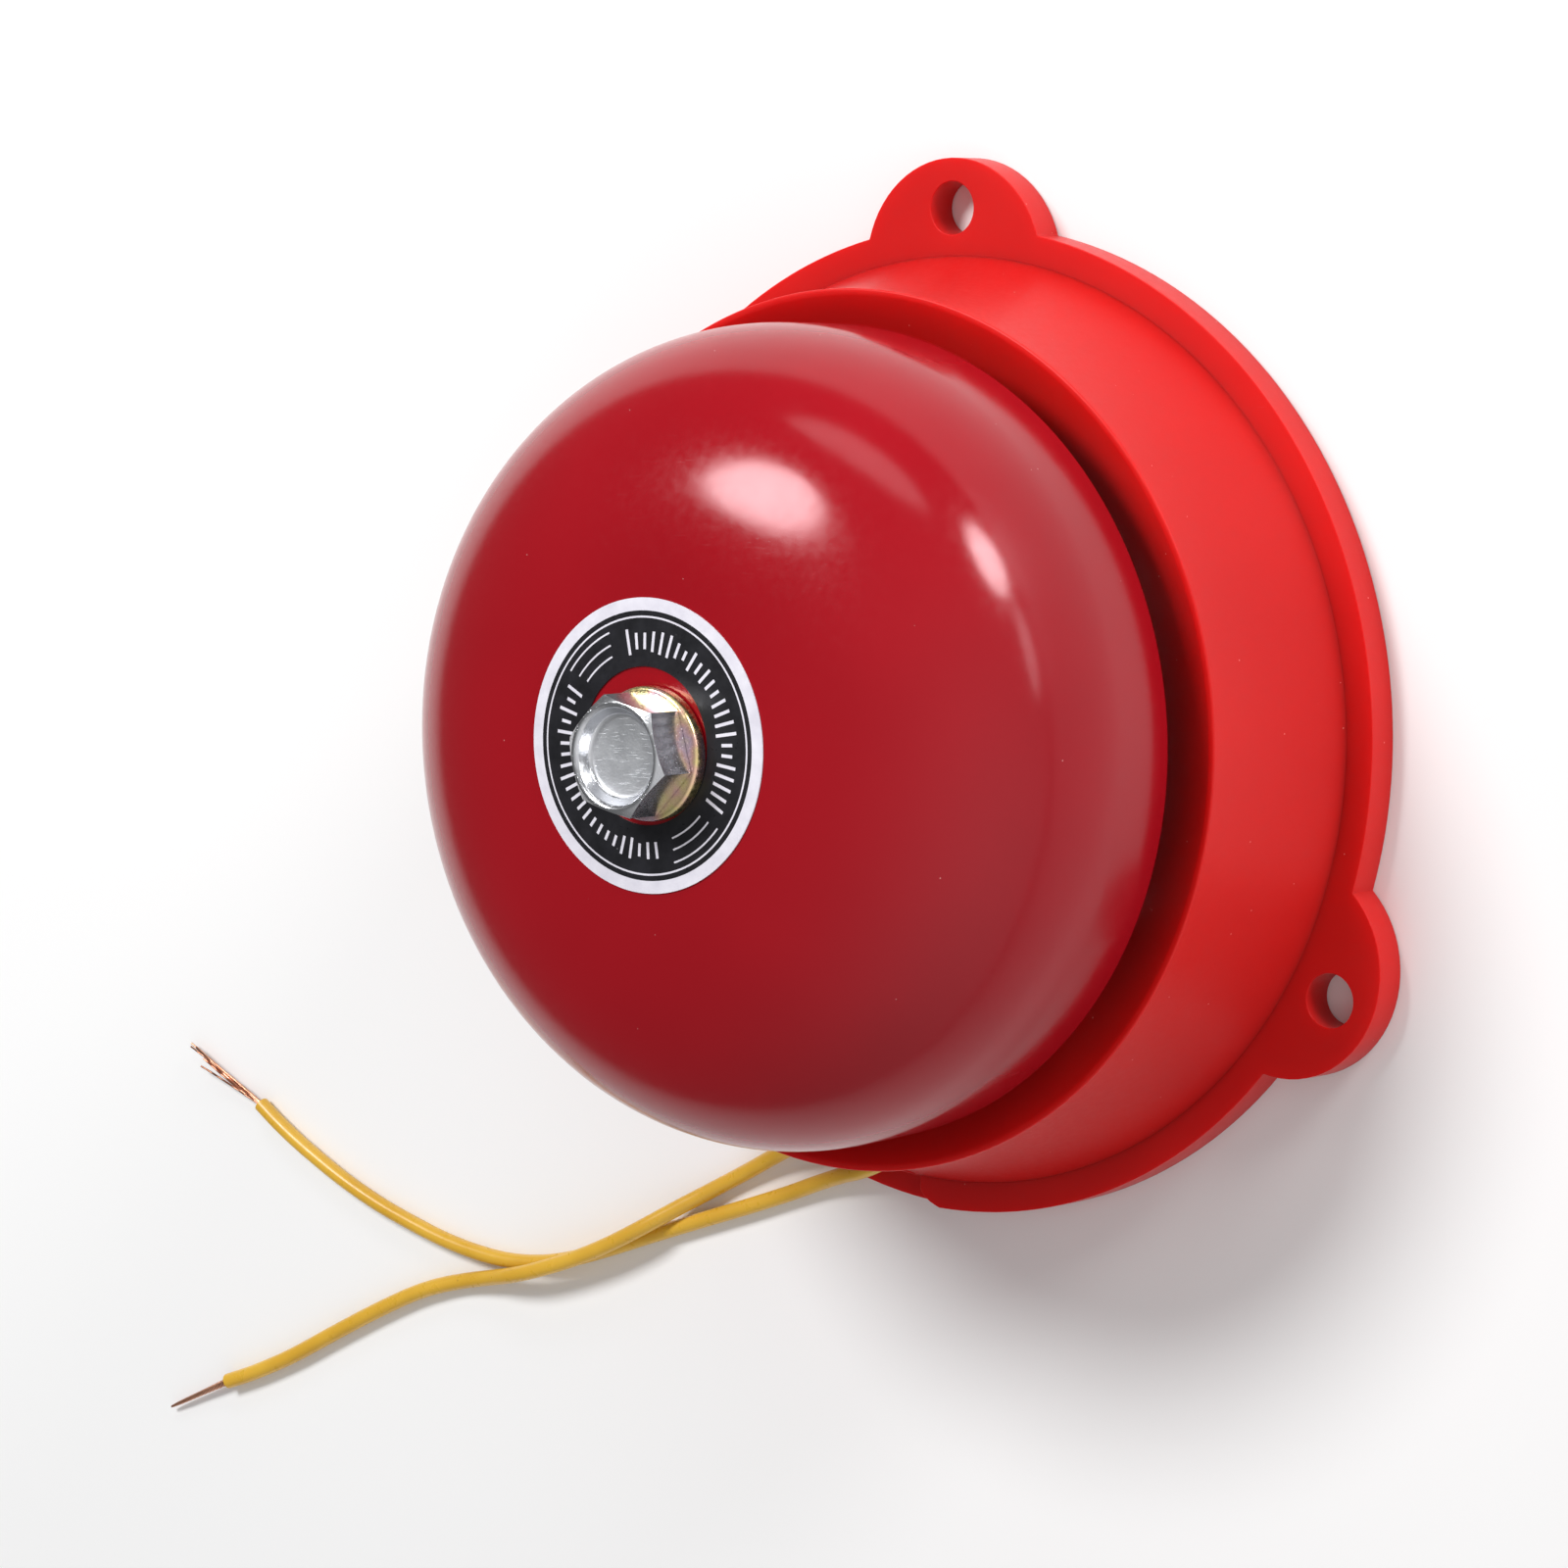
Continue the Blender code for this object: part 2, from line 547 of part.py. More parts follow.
def make_back_cover():
    seat_depth = 1.3
    cover = turned_part("back_cover", solid_profile(COVER_RADIUS, 0.0, COVER_THICKNESS), BLACK_PLASTIC,
                        ROUND_STEPS, closed=False)
    stepped = [
        (0.0, COVER_THICKNESS + 1.0), (1.5, COVER_THICKNESS + 1.0), (1.5, seat_depth), (3.1, seat_depth),
        (3.1, -1.0), (0.0, -1.0),
    ]
    for k, angle in enumerate(COVER_SCREW_ANGLES, 1):
        x, y, _ = polar(COVER_SCREW_CIRCLE, angle)
        spot = (x, y, 0.0)
        cut(cover, turned_cutter(f"cover_screw_hole_{k}", stepped, SMALL_STEPS, closed=False, centre=spot))
        turned_part(f"cover_screw_{k}", pan_screw_profile(2.7, 0.8, 1.1, 10.0), STEEL, 16, closed=False,
                    axis=(0, 0, -1), centre=(x, y, seat_depth - GAP))


def make_mounting_plate():
    screw_spots = [polar(PLATE_SCREW_CIRCLE, angle)[:2] for angle in PLATE_SCREW_ANGLES]
    holes = [circle_points(2.9, SMALL_STEPS, STACK_SHIFT)]
    holes.append(circle_points(LEAD_HOLE_RADIUS, SMALL_STEPS, LEAD_HOLE_CENTRE))
    holes += [circle_points(1.5, 16, spot) for spot in screw_spots]
    holes += [circle_points(1.5, 16, (x, COIL_Y)) for x in FRAME_SCREW_X]
    disc = polygon_prism_mesh("mounting_plate", circle_points(PLATE_RADIUS, 60), holes, PLATE_Z, PLATE_TOP)
    link_part("mounting_plate", disc, STEEL)
    for k, (x, y) in enumerate(screw_spots, 1):
        turned_part(f"plate_screw_{k}", pan_screw_profile(2.4, 1.4, 1.2, 8.6), ZINC, 16, closed=False,
                    centre=(x, y, FRAME_Z))


# ---- coil, plunger and striker -------------------------------------------------------------
ALONG_X = (1, 0, 0)
COIL_CENTRE = (0.0, COIL_Y, COIL_Z)


def make_coil_frame():
    half = FRAME_HALF_LENGTH
    top = COIL_Z + BOBBIN_RADIUS
    outline = [
        (-half, FRAME_Z), (half, FRAME_Z), (half, top), (half - FRAME_SHEET, top),
        (half - FRAME_SHEET, FRAME_Z + FRAME_SHEET), (FRAME_SHEET - half, FRAME_Z + FRAME_SHEET),
        (FRAME_SHEET - half, top), (-half, top),
    ]
    mesh = polygon_prism_mesh("coil_frame", outline, [], -FRAME_WIDTH / 2, FRAME_WIDTH / 2)
    mesh.transform(Matrix.Rotation(math.pi / 2, 4, "X"))
    mesh.transform(Matrix.Translation((0.0, COIL_Y * MM, 0.0)))
    frame = link_part("coil_frame", mesh, STEEL)
    cut(frame, round_cutter("tube_hole", 4.2, -half - 3.0, half + 3.0, axis=ALONG_X, centre=COIL_CENTRE))
    for k, x in enumerate(FRAME_SCREW_X, 1):
        cut(frame, round_cutter(f"frame_tapping_{k}", 1.5, FRAME_Z - 1.0, FRAME_Z + FRAME_SHEET + 1.0, 16,
                                centre=(x, COIL_Y, 0.0)))
        turned_part(f"frame_screw_{k}", pan_screw_profile(2.4, 1.3, 1.2, 3.4), ZINC, 16, closed=False,
                    axis=(0, 0, -1), centre=(x, COIL_Y, PLATE_Z - GAP))


def make_coil():
    end = FRAME_HALF_LENGTH - FRAME_SHEET - GAP
    web = 1.1
    tube = 5.2
    bore = 4.2
    bobbin = [
        (bore, end), (BOBBIN_RADIUS, end), (BOBBIN_RADIUS, end - web), (tube, end - web),
        (tube, web - end), (BOBBIN_RADIUS, web - end), (BOBBIN_RADIUS, -end), (bore, -end),
    ]
    inside = end - web - GAP
    turned_part("coil_bobbin", bobbin, WHITE_NYLON, 28, axis=ALONG_X, centre=COIL_CENTRE)
    turned_part("coil_winding", ring_profile(tube + GAP, 8.3, -inside, inside), COPPER, 28,
                axis=ALONG_X, centre=COIL_CENTRE)
    turned_part("coil_wrap", ring_profile(8.6, 8.95, -inside, inside), TAPE, 28,
                axis=ALONG_X, centre=COIL_CENTRE)
    turned_part("guide_tube", ring_profile(3.5, 3.9, -FRAME_HALF_LENGTH - 0.2, FRAME_HALF_LENGTH + 0.2), BRASS,
                SMALL_STEPS, axis=ALONG_X, centre=COIL_CENTRE)


CLIP_X = -25.5                  # middle of the clip on the plunger's tail
SPRING_TURNS = 4.5
SPRING_MEAN_RADIUS = 4.2
SPRING_WIRE_RADIUS = 0.3


def make_spring():
    seat_face = -FRAME_HALF_LENGTH - 0.5
    turned_part("spring_seat", ring_profile(3.45, 5.2, seat_face - 0.7, seat_face), ZINC, SMALL_STEPS,
                axis=ALONG_X, centre=COIL_CENTRE)
    start = seat_face - 0.7 - GAP - SPRING_WIRE_RADIUS
    finish = CLIP_X + 0.4 + GAP + SPRING_WIRE_RADIUS
    steps = round(SPRING_TURNS * 14)
    points = []
    for k in range(steps + 1):
        angle = math.tau * SPRING_TURNS * k / steps
        points.append((start + (finish - start) * k / steps,
                       COIL_Y + SPRING_MEAN_RADIUS * math.cos(angle),
                       COIL_Z + SPRING_MEAN_RADIUS * math.sin(angle)))
    wire_part("return_spring", points, SPRING_WIRE_RADIUS, STEEL)


def moving_part(name, profile, finish, axis_empty, steps=SMALL_STEPS, closed=False):
    """A turned piece on the striker's axis, parented to the empty that marks that axis."""
    item = turned_part(name, profile, finish, steps, closed, axis=ALONG_X, centre=(0.0, 0.0, 0.0))
    item.parent = axis_empty
    return item


def make_striker():
    axis_empty = bpy.data.objects.new("striker_axis", None)
    axis_empty.location = Vector(COIL_CENTRE) * MM
    BELL.objects.link(axis_empty)
    tail_end = -27.0
    shoulder_x = -24.0
    nose = 6.0
    plunger = [
        (0.0, nose), (1.6, nose), (PLUNGER_RADIUS, nose - 1.5), (PLUNGER_RADIUS, shoulder_x),
        (1.6, shoulder_x), (1.6, tail_end), (0.0, tail_end),
    ]
    moving_part("plunger", plunger, STEEL, axis_empty)
    clip = ring_profile(1.9, 4.9, CLIP_X - 0.4, CLIP_X + 0.4)
    moving_part("plunger_clip", clip, ZINC, axis_empty, closed=True)
    collar_x = FRAME_HALF_LENGTH + 2.9
    moving_part("striker_rod", solid_profile(1.4, nose + GAP, collar_x - GAP), STEEL, axis_empty, 16)
    dome_centre = TIP_END_REST - TIP_RADIUS
    dome = [(TIP_RADIUS * math.sin(math.pi / 2 * k / 5), dome_centre + TIP_RADIUS * math.cos(math.pi / 2 * k / 5))
            for k in range(6)]
    dome[0] = (0.0, TIP_END_REST)
    tip = dome + [(TIP_RADIUS, collar_x + 1.5), (3.0, collar_x + 1.5), (3.0, collar_x), (0.0, collar_x)]
    moving_part("striker_tip", tip, BRASS, axis_empty)
    buffer_face = FRAME_HALF_LENGTH + 0.5
    turned_part("buffer_ring", ring_profile(2.2, 5.0, buffer_face, collar_x - 0.4), RUBBER, SMALL_STEPS,
                axis=ALONG_X, centre=COIL_CENTRE)


# ---- wiring --------------------------------------------------------------------------------
def make_wiring():
    for k, (route, tip) in enumerate(((LEAD_ROUTE_1, BARE_END_TIP_1), (LEAD_ROUTE_2, BARE_END_TIP_2)), 1):
        wire_part(f"lead_wire_{k}", smooth_route(route, LEAD_POINT_SPACING), LEAD_RADIUS, YELLOW_PVC)
        end = Vector(route[-1])
        onward = (end - Vector(route[-2])).normalized()
        start = end + onward * GAP
        middle = start.lerp(Vector(tip), 0.5)
        wire_part(f"bare_end_{k}", [start, middle, Vector(tip)], 0.4, COPPER)
        middle_y = (SLEEVE_INNER_Y + SLEEVE_OUTER_Y) / 2
        half = (SLEEVE_INNER_Y - SLEEVE_OUTER_Y) / 2
        turned_part(f"splice_sleeve_{k}", solid_profile(1.3, -half, half), BLACK_PLASTIC, 16, closed=False,
                    axis=(0, 1, 0), centre=(SLEEVE_X[k - 1], middle_y, SLEEVE_Z))
    for k, route in enumerate((COIL_LEAD_ROUTE_1, COIL_LEAD_ROUTE_2), 1):
        wire_part(f"coil_lead_{k}", smooth_route(route, 1.6), 0.5, RED_PAINT)
    body_half = 2.6
    lead_half = 6.0
    diode = [
        (0.0, lead_half), (0.4, lead_half), (0.4, body_half), (1.35, body_half), (1.35, -body_half),
        (0.4, -body_half), (0.4, -lead_half), (0.0, -lead_half),
    ]
    diode_y = SLEEVE_INNER_Y + GAP + lead_half
    turned_part("rectifier_diode", diode, BLACK_PLASTIC, 16, closed=False, axis=(0, 1, 0),
                centre=(SLEEVE_X[1], diode_y, SLEEVE_Z))


def make_cable_clamp():
    low = 4.1
    high = SLEEVE_Z - 1.3 - GAP
    margin = 2.0
    half_width = 2.0
    outline = [
        (CLAMP_X[0] - margin, CLAMP_Y - half_width), (CLAMP_X[1] + margin, CLAMP_Y - half_width),
        (CLAMP_X[1] + margin, CLAMP_Y + half_width), (CLAMP_X[0] - margin, CLAMP_Y + half_width),
    ]
    holes = [circle_points(1.2, 16, (x, CLAMP_Y)) for x in CLAMP_X]
    link_part("cable_clamp", polygon_prism_mesh("cable_clamp", outline, holes, low, high), WHITE_NYLON)
    for k, x in enumerate(CLAMP_X, 1):
        turned_part(f"clamp_screw_{k}", pan_screw_profile(1.9, 0.9, 0.9, 8.0), STEEL, 16, closed=False,
                    axis=(0, 0, -1), centre=(x, CLAMP_Y, low - GAP))


def shade_round():
    for item in BELL.objects:
        if item.type == "MESH" and not item.modifiers:
            item.data.shade_flat()


make_gong()
make_label()
make_bolt()
make_gong_fixings()
make_housing()
make_back_cover()
make_mounting_plate()
make_coil_frame()
make_coil()
make_spring()
make_striker()
make_wiring()
make_cable_clamp()
shade_round()
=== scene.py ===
# %% [markdown]
# # A fire alarm bell
#
# The bell lies on its back: a crimson steel gong is bolted over a round red plastic base, and two
# yellow leads run out across the table. The working model of the parts is loaded as a fixed frame.
# This lesson adds the smooth shapes and the finishes, and leaves every working part where it is.
# Everything is in metres, with +Z along the gong's axis.

# %% Load the frame
import math
import random

import bmesh
import bpy
from mathutils import Matrix, Vector


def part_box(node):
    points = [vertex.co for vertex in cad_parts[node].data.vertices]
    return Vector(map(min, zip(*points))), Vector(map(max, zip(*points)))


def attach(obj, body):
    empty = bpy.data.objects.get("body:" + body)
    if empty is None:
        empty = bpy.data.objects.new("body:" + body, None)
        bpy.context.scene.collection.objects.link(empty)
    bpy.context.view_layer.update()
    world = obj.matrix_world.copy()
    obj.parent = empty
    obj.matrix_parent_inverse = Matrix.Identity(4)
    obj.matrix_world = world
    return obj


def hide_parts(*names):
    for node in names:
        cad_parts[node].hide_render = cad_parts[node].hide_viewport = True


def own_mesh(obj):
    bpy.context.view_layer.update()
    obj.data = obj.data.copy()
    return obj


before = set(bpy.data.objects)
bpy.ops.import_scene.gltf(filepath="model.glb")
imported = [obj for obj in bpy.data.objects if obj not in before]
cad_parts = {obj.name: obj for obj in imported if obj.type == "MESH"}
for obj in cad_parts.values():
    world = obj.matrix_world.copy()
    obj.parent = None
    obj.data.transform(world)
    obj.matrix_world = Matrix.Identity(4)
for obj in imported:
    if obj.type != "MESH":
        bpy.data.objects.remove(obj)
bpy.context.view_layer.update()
MM = 0.001
BODY = "bell"
gong_low, gong_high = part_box("gong")
print("gong from", [round(v, 4) for v in gong_low], "to", [round(v, 4) for v in gong_high])

# %% [markdown]
# ## The camera
#
# A long lens a little over half a metre away keeps the bell's circles close to true. The camera is
# placed by three directions, right, up and back, so that no angle has to be worked out by hand.

# %% Camera
CAMERA_PLACE = Vector((0.350331, 0.036336, 0.470350))
CAMERA_RIGHT = Vector((0.78323, -0.012106, -0.621614))
CAMERA_UP = Vector((-0.035236, 0.997339, -0.063821))
LENS_MM = 142.41
SENSOR_MM = 36.0


def add_object(name, data):
    """A new object at the origin, in the scene's own collection."""
    made = bpy.data.objects.new(name, data)
    bpy.context.scene.collection.objects.link(made)
    return made


def make_camera():
    lens = bpy.data.cameras.new("camera")
    lens.lens = LENS_MM
    lens.sensor_width = SENSOR_MM
    lens.clip_start = 0.01
    camera = add_object("camera", lens)
    back = CAMERA_RIGHT.cross(CAMERA_UP).normalized()
    turn = Matrix((CAMERA_RIGHT, CAMERA_UP, back)).transposed().to_4x4()
    camera.matrix_world = Matrix.Translation(CAMERA_PLACE) @ turn
    bpy.context.scene.camera = camera
    return camera


camera = make_camera()
print(f"{camera.data.lens:.0f} mm lens, {CAMERA_PLACE.length:.3f} m from the middle of the base")

# %% [markdown]
# ## Building materials from nodes
#
# Each finish is a small node tree. `put` adds one node and fills its sockets: a value is set, and
# another node's output is linked. The rest are the few patterns that all the finishes share:
# cloudy noise, thin scratches and sparse specks of dust, all read from Object coordinates so that
# they stay on the piece from any side.


# %% Node helpers
def put(tree, kind, inputs=None, **settings):
    """Adds a node; inputs is {socket name or number: value or socket}."""
    made = tree.nodes.new(kind)
    for name, value in settings.items():
        setattr(made, name, value)
    for key, value in (inputs or {}).items():
        if isinstance(value, bpy.types.NodeSocket):
            tree.links.new(value, made.inputs[key])
        else:
            made.inputs[key].default_value = value
    return made


def maths(tree, operation, first, second=0.0, third=None):
    values = {0: first, 1: second}
    if third is not None:
        values[2] = third
    return put(tree, "ShaderNodeMath", values, operation=operation).outputs[0]


def remap(tree, value, low, high, to_low=0.0, to_high=1.0):
    inputs = {"Value": value, "From Min": low, "From Max": high, "To Min": to_low, "To Max": to_high}
    return put(tree, "ShaderNodeMapRange", inputs).outputs["Result"]


def blend_colour(tree, factor, first, second):
    inputs = {0: factor, 6: first, 7: second}
    return put(tree, "ShaderNodeMix", inputs, data_type="RGBA").outputs[2]


def place_on_piece(tree, scale=(1, 1, 1), turn=(0, 0, 0), move=(0, 0, 0)):
    where = put(tree, "ShaderNodeTexCoord").outputs["Object"]
    inputs = {"Vector": where, "Scale": scale, "Rotation": turn, "Location": move}
    return put(tree, "ShaderNodeMapping", inputs).outputs["Vector"]


def cloud(tree, where, scale, detail=3.0, roughness=0.5):
    inputs = {"Vector": where, "Scale": scale, "Detail": detail, "Roughness": roughness}
    return put(tree, "ShaderNodeTexNoise", inputs).outputs[0]


def colour_steps(tree, factor, stops):
    ramp = put(tree, "ShaderNodeValToRGB", {"Fac": factor})
    while len(ramp.color_ramp.elements) < len(stops):
        ramp.color_ramp.elements.new(1.0)
    for element, (place, colour) in zip(ramp.color_ramp.elements, stops):
        element.position = place
        element.color = (*colour, 1.0)
    return ramp.outputs["Color"]


def specks(tree, size, spacing, share):
    """1 inside sparse round specks of about that size, 0 elsewhere; sizes in metres."""
    where = place_on_piece(tree)
    inputs = {"Vector": where, "Scale": 1.0 / spacing}
    cells = put(tree, "ShaderNodeTexVoronoi", inputs)
    near = maths(tree, "LESS_THAN", cells.outputs["Distance"], size / spacing)
    chance = put(tree, "ShaderNodeSeparateColor", {0: cells.outputs["Color"]}).outputs[0]
    picked = maths(tree, "LESS_THAN", chance, share)
    return maths(tree, "MULTIPLY", near, picked)


def scratches(tree, length, width, turn, share=0.3):
    """Thin short lines: noise drawn out along one direction, cut to its highest values."""
    where = place_on_piece(tree, scale=(1.0 / length, 1.0 / width, 1.0 / width), turn=turn)
    noise = cloud(tree, where, 1.0, 1.0, 0.3)
    return remap(tree, noise, 0.86 - share * 0.3, 0.92 - share * 0.3)


def new_finish(name, roughness=0.5, metallic=0.0, specular=0.5):
    material = bpy.data.materials.new(name)
    material.use_nodes = True
    tree = material.node_tree
    shader = tree.nodes["Principled BSDF"]
    shader.inputs["Roughness"].default_value = roughness
    shader.inputs["Metallic"].default_value = metallic
    shader.inputs["Specular IOR Level"].default_value = specular
    return material, tree, shader


def set_relief(tree, shader, height, depth):
    """Bump of that depth in metres; height runs from 0 to 1."""
    bump = put(tree, "ShaderNodeBump", {"Height": height, "Distance": depth, "Strength": 1.0})
    tree.links.new(bump.outputs["Normal"], shader.inputs["Normal"])


print("node helpers ready")

# %% [markdown]
# ## Finishes of the painted and moulded parts
#
# The gong is pressed steel with gloss crimson paint. Sprayed paint is never quite flat: it has a
# faint orange peel, and handling leaves fine rubbing marks that show mostly inside a highlight. The
# base is moulded plastic, a brighter red, with soft flow marks, a satin gloss, specks of dust and
# a few pale scuffs.


# %% Painted and moulded finishes
def make_gong_paint():
    material, tree, shader = new_finish("crimson_gloss_paint", specular=0.4)
    shader.inputs["Specular Tint"].default_value = (1.0, 0.74, 0.78, 1.0)
    where = place_on_piece(tree)
    depth = cloud(tree, where, 40.0, 2.0)
    colour = colour_steps(tree, depth, [(0.3, (0.285, 0.0035, 0.0085)), (0.7, (0.325, 0.0045, 0.0105))])
    dust = specks(tree, 0.00006, 0.0019, 0.22)
    dusty = blend_colour(tree, maths(tree, "MULTIPLY", dust, 0.5), colour, (0.8, 0.5, 0.48, 1.0))
    tree.links.new(dusty, shader.inputs["Base Color"])
    rubbed = scratches(tree, 0.003, 0.00012, (0.3, 0.2, 0.7), 0.55)
    mottle = cloud(tree, where, 1100.0, 3.0, 0.6)
    marks = maths(tree, "ADD", mottle, maths(tree, "MULTIPLY", rubbed, 0.5))
    tree.links.new(remap(tree, marks, 0.3, 1.0, 0.13, 0.24), shader.inputs["Roughness"])
    peel = cloud(tree, where, 380.0, 2.0, 0.5)
    relief = maths(tree, "ADD", peel, maths(tree, "MULTIPLY", marks, 0.12))
    set_relief(tree, shader, relief, 0.000006)
    return material


def make_base_plastic():
    material, tree, shader = new_finish("red_moulded_plastic", specular=0.22)
    shader.inputs["Subsurface Weight"].default_value = 0.5
    shader.inputs["Subsurface Radius"].default_value = (1.0, 0.04, 0.04)
    shader.inputs["Subsurface Scale"].default_value = 0.004
    where = place_on_piece(tree)
    flow = cloud(tree, place_on_piece(tree, scale=(1.0, 1.0, 0.35)), 28.0, 3.0, 0.55)
    colour = colour_steps(tree, flow, [(0.25, (0.50, 0.006, 0.007)), (0.75, (0.61, 0.010, 0.008))])
    scuffs = scratches(tree, 0.005, 0.00018, (0.9, 0.4, 0.3), 0.12)
    dust = specks(tree, 0.00007, 0.0016, 0.4)
    pale = maths(tree, "MAXIMUM", maths(tree, "MULTIPLY", scuffs, 0.25), maths(tree, "MULTIPLY", dust, 0.6))
    scuffed = blend_colour(tree, pale, colour, (0.85, 0.45, 0.4, 1.0))
    tree.links.new(scuffed, shader.inputs["Base Color"])
    grain = cloud(tree, where, 1500.0, 3.0, 0.6)
    rough = remap(tree, maths(tree, "ADD", flow, grain), 0.6, 1.4, 0.30, 0.42)
    tree.links.new(rough, shader.inputs["Roughness"])
    waves = cloud(tree, where, 160.0, 2.0, 0.5)
    relief = maths(tree, "ADD", maths(tree, "MULTIPLY", grain, 0.3), waves)
    set_relief(tree, shader, relief, 0.00002)
    return material


def make_matte_plastic(name, dark, light, roughness):
    material, tree, shader = new_finish(name, roughness=roughness)
    where = place_on_piece(tree)
    tree.links.new(colour_steps(tree, cloud(tree, where, 90.0), [(0.3, dark), (0.7, light)]),
                   shader.inputs["Base Color"])
    grain = cloud(tree, where, 1800.0, 2.0, 0.6)
    set_relief(tree, shader, grain, 0.00003)
    rough = remap(tree, grain, 0.3, 0.7, roughness - 0.06, roughness + 0.08)
    tree.links.new(rough, shader.inputs["Roughness"])
    return material


gong_paint = make_gong_paint()
base_plastic = make_base_plastic()
black_plastic = make_matte_plastic("black_plastic", (0.018, 0.018, 0.02), (0.035, 0.035, 0.04), 0.5)
white_nylon = make_matte_plastic("white_nylon", (0.62, 0.6, 0.52), (0.76, 0.74, 0.66), 0.4)
black_rubber = make_matte_plastic("black_rubber", (0.012, 0.012, 0.013), (0.028, 0.028, 0.03), 0.75)
winding_tape = make_matte_plastic("winding_tape", (0.55, 0.40, 0.06), (0.68, 0.52, 0.10), 0.38)
red_insulation = make_matte_plastic("red_insulation", (0.38, 0.015, 0.015), (0.5, 0.03, 0.025), 0.35)
print("painted and moulded finishes:", gong_paint.name, base_plastic.name)

# %% [markdown]
# ## Finishes of the metals
#
# Zinc plate is bright and slightly milky, with fine tool marks under it. Yellow passivation is a
# very thin film, so it shifts between straw, pink and green from place to place. Copper strands
# dull to a reddish brown. The plain metals share one function, and the yellow film has its own.


# %% Metal finishes
def make_plated_metal(name, dark, light, roughness, along, across, depth=0.000004):
    """A metal whose tool marks run along one direction: along and across are the marks' sizes in metres."""
    material, tree, shader = new_finish(name, roughness=roughness, metallic=1.0)
    where = place_on_piece(tree)
    milky = cloud(tree, where, 350.0, 3.0, 0.6)
    tree.links.new(colour_steps(tree, milky, [(0.3, dark), (0.7, light)]), shader.inputs["Base Color"])
    marks = cloud(tree, place_on_piece(tree, scale=(1 / across, 1 / across, 1 / along)), 1.0, 3.0, 0.6)
    nicks = scratches(tree, 0.002, 0.00006, (0.2, 0.1, 1.1), 0.5)
    relief = maths(tree, "SUBTRACT", marks, maths(tree, "MULTIPLY", nicks, 0.6))
    set_relief(tree, shader, relief, depth)
    rough = remap(tree, maths(tree, "ADD", milky, maths(tree, "MULTIPLY", marks, 0.6)), 0.4, 1.2,
                  roughness * 0.75, roughness * 1.35)
    tree.links.new(rough, shader.inputs["Roughness"])
    return material


def make_yellow_zinc():
    material, tree, shader = new_finish("yellow_passivated_zinc", roughness=0.25, metallic=1.0)
    where = place_on_piece(tree)
    film = cloud(tree, where, 260.0, 2.0, 0.45)
    stops = [(0.30, (0.62, 0.66, 0.42)), (0.42, (0.80, 0.66, 0.30)), (0.50, (0.84, 0.50, 0.42)),
             (0.58, (0.72, 0.52, 0.62)), (0.68, (0.80, 0.72, 0.40))]
    tree.links.new(colour_steps(tree, film, stops), shader.inputs["Base Color"])
    marks = cloud(tree, where, 2200.0, 3.0, 0.6)
    set_relief(tree, shader, marks, 0.000005)
    tree.links.new(remap(tree, marks, 0.3, 0.7, 0.18, 0.34), shader.inputs["Roughness"])
    return material


bright_zinc = make_plated_metal("bright_zinc", (0.66, 0.67, 0.70), (0.80, 0.81, 0.83), 0.2, 0.004, 0.00016)
plain_steel = make_plated_metal("plain_steel", (0.42, 0.43, 0.45), (0.55, 0.56, 0.58), 0.34, 0.003, 0.0002)
drawn_brass = make_plated_metal("drawn_brass", (0.66, 0.47, 0.2), (0.78, 0.58, 0.28), 0.28, 0.003, 0.0002)
copper_strand = make_plated_metal("copper_strand", (0.5, 0.22, 0.13), (0.78, 0.42, 0.28), 0.32, 0.001, 0.0001)
yellow_zinc = make_yellow_zinc()
print("metal finishes:", bright_zinc.name, yellow_zinc.name, copper_strand.name)

# %% [markdown]
# ## Mesh helpers
#
# Most parts here are turned: a profile is drawn once, its corners are rounded, and it is spun round
# an axis. Rounding the profile's own corners gives clean edges without a Bevel modifier. Flat parts
# are filled outlines. Every finished piece but the two leads, which stay curves, is a plain mesh at
# the origin, so that its pattern doesn't slide when the piece is exported.


# %% Mesh helpers
def rounded(corners, steps=4):
    """Outline points from corners (x, y, rounding): each rounded corner becomes a short curve."""
    points = []
    count = len(corners)
    for k, (x, y, rounding) in enumerate(corners):
        corner = Vector((x, y))
        if not rounding:
            points.append(tuple(corner))
            continue
        before = Vector(corners[k - 1][:2])
        after = Vector(corners[(k + 1) % count][:2])
        start = corner + (before - corner).normalized() * rounding
        end = corner + (after - corner).normalized() * rounding
        for step in range(steps + 1):
            t = step / steps
            points.append(tuple(start.lerp(corner, t).lerp(corner.lerp(end, t), t)))
    return points


def tidy(shape):
    """Merges doubles, drops collapsed faces and turns every face outwards."""
    bmesh.ops.remove_doubles(shape, verts=shape.verts, dist=0.000001)
    bmesh.ops.dissolve_degenerate(shape, edges=shape.edges, dist=0.000001)
    bmesh.ops.recalc_face_normals(shape, faces=shape.faces)


def finish_mesh(name, shape, material, crease=35.0):
    mesh = bpy.data.meshes.new(name)
    shape.to_mesh(mesh)
    shape.free()
    mesh.materials.append(material)
    mesh.shade_smooth()
    mesh.set_sharp_from_angle(angle=math.radians(crease))
    return add_object(name, mesh)


def evaluated_mesh(source):
    """The mesh that an object's curve or modifiers come to."""
    bpy.context.view_layer.update()
    return bpy.data.meshes.new_from_object(source.evaluated_get(bpy.context.evaluated_depsgraph_get()))


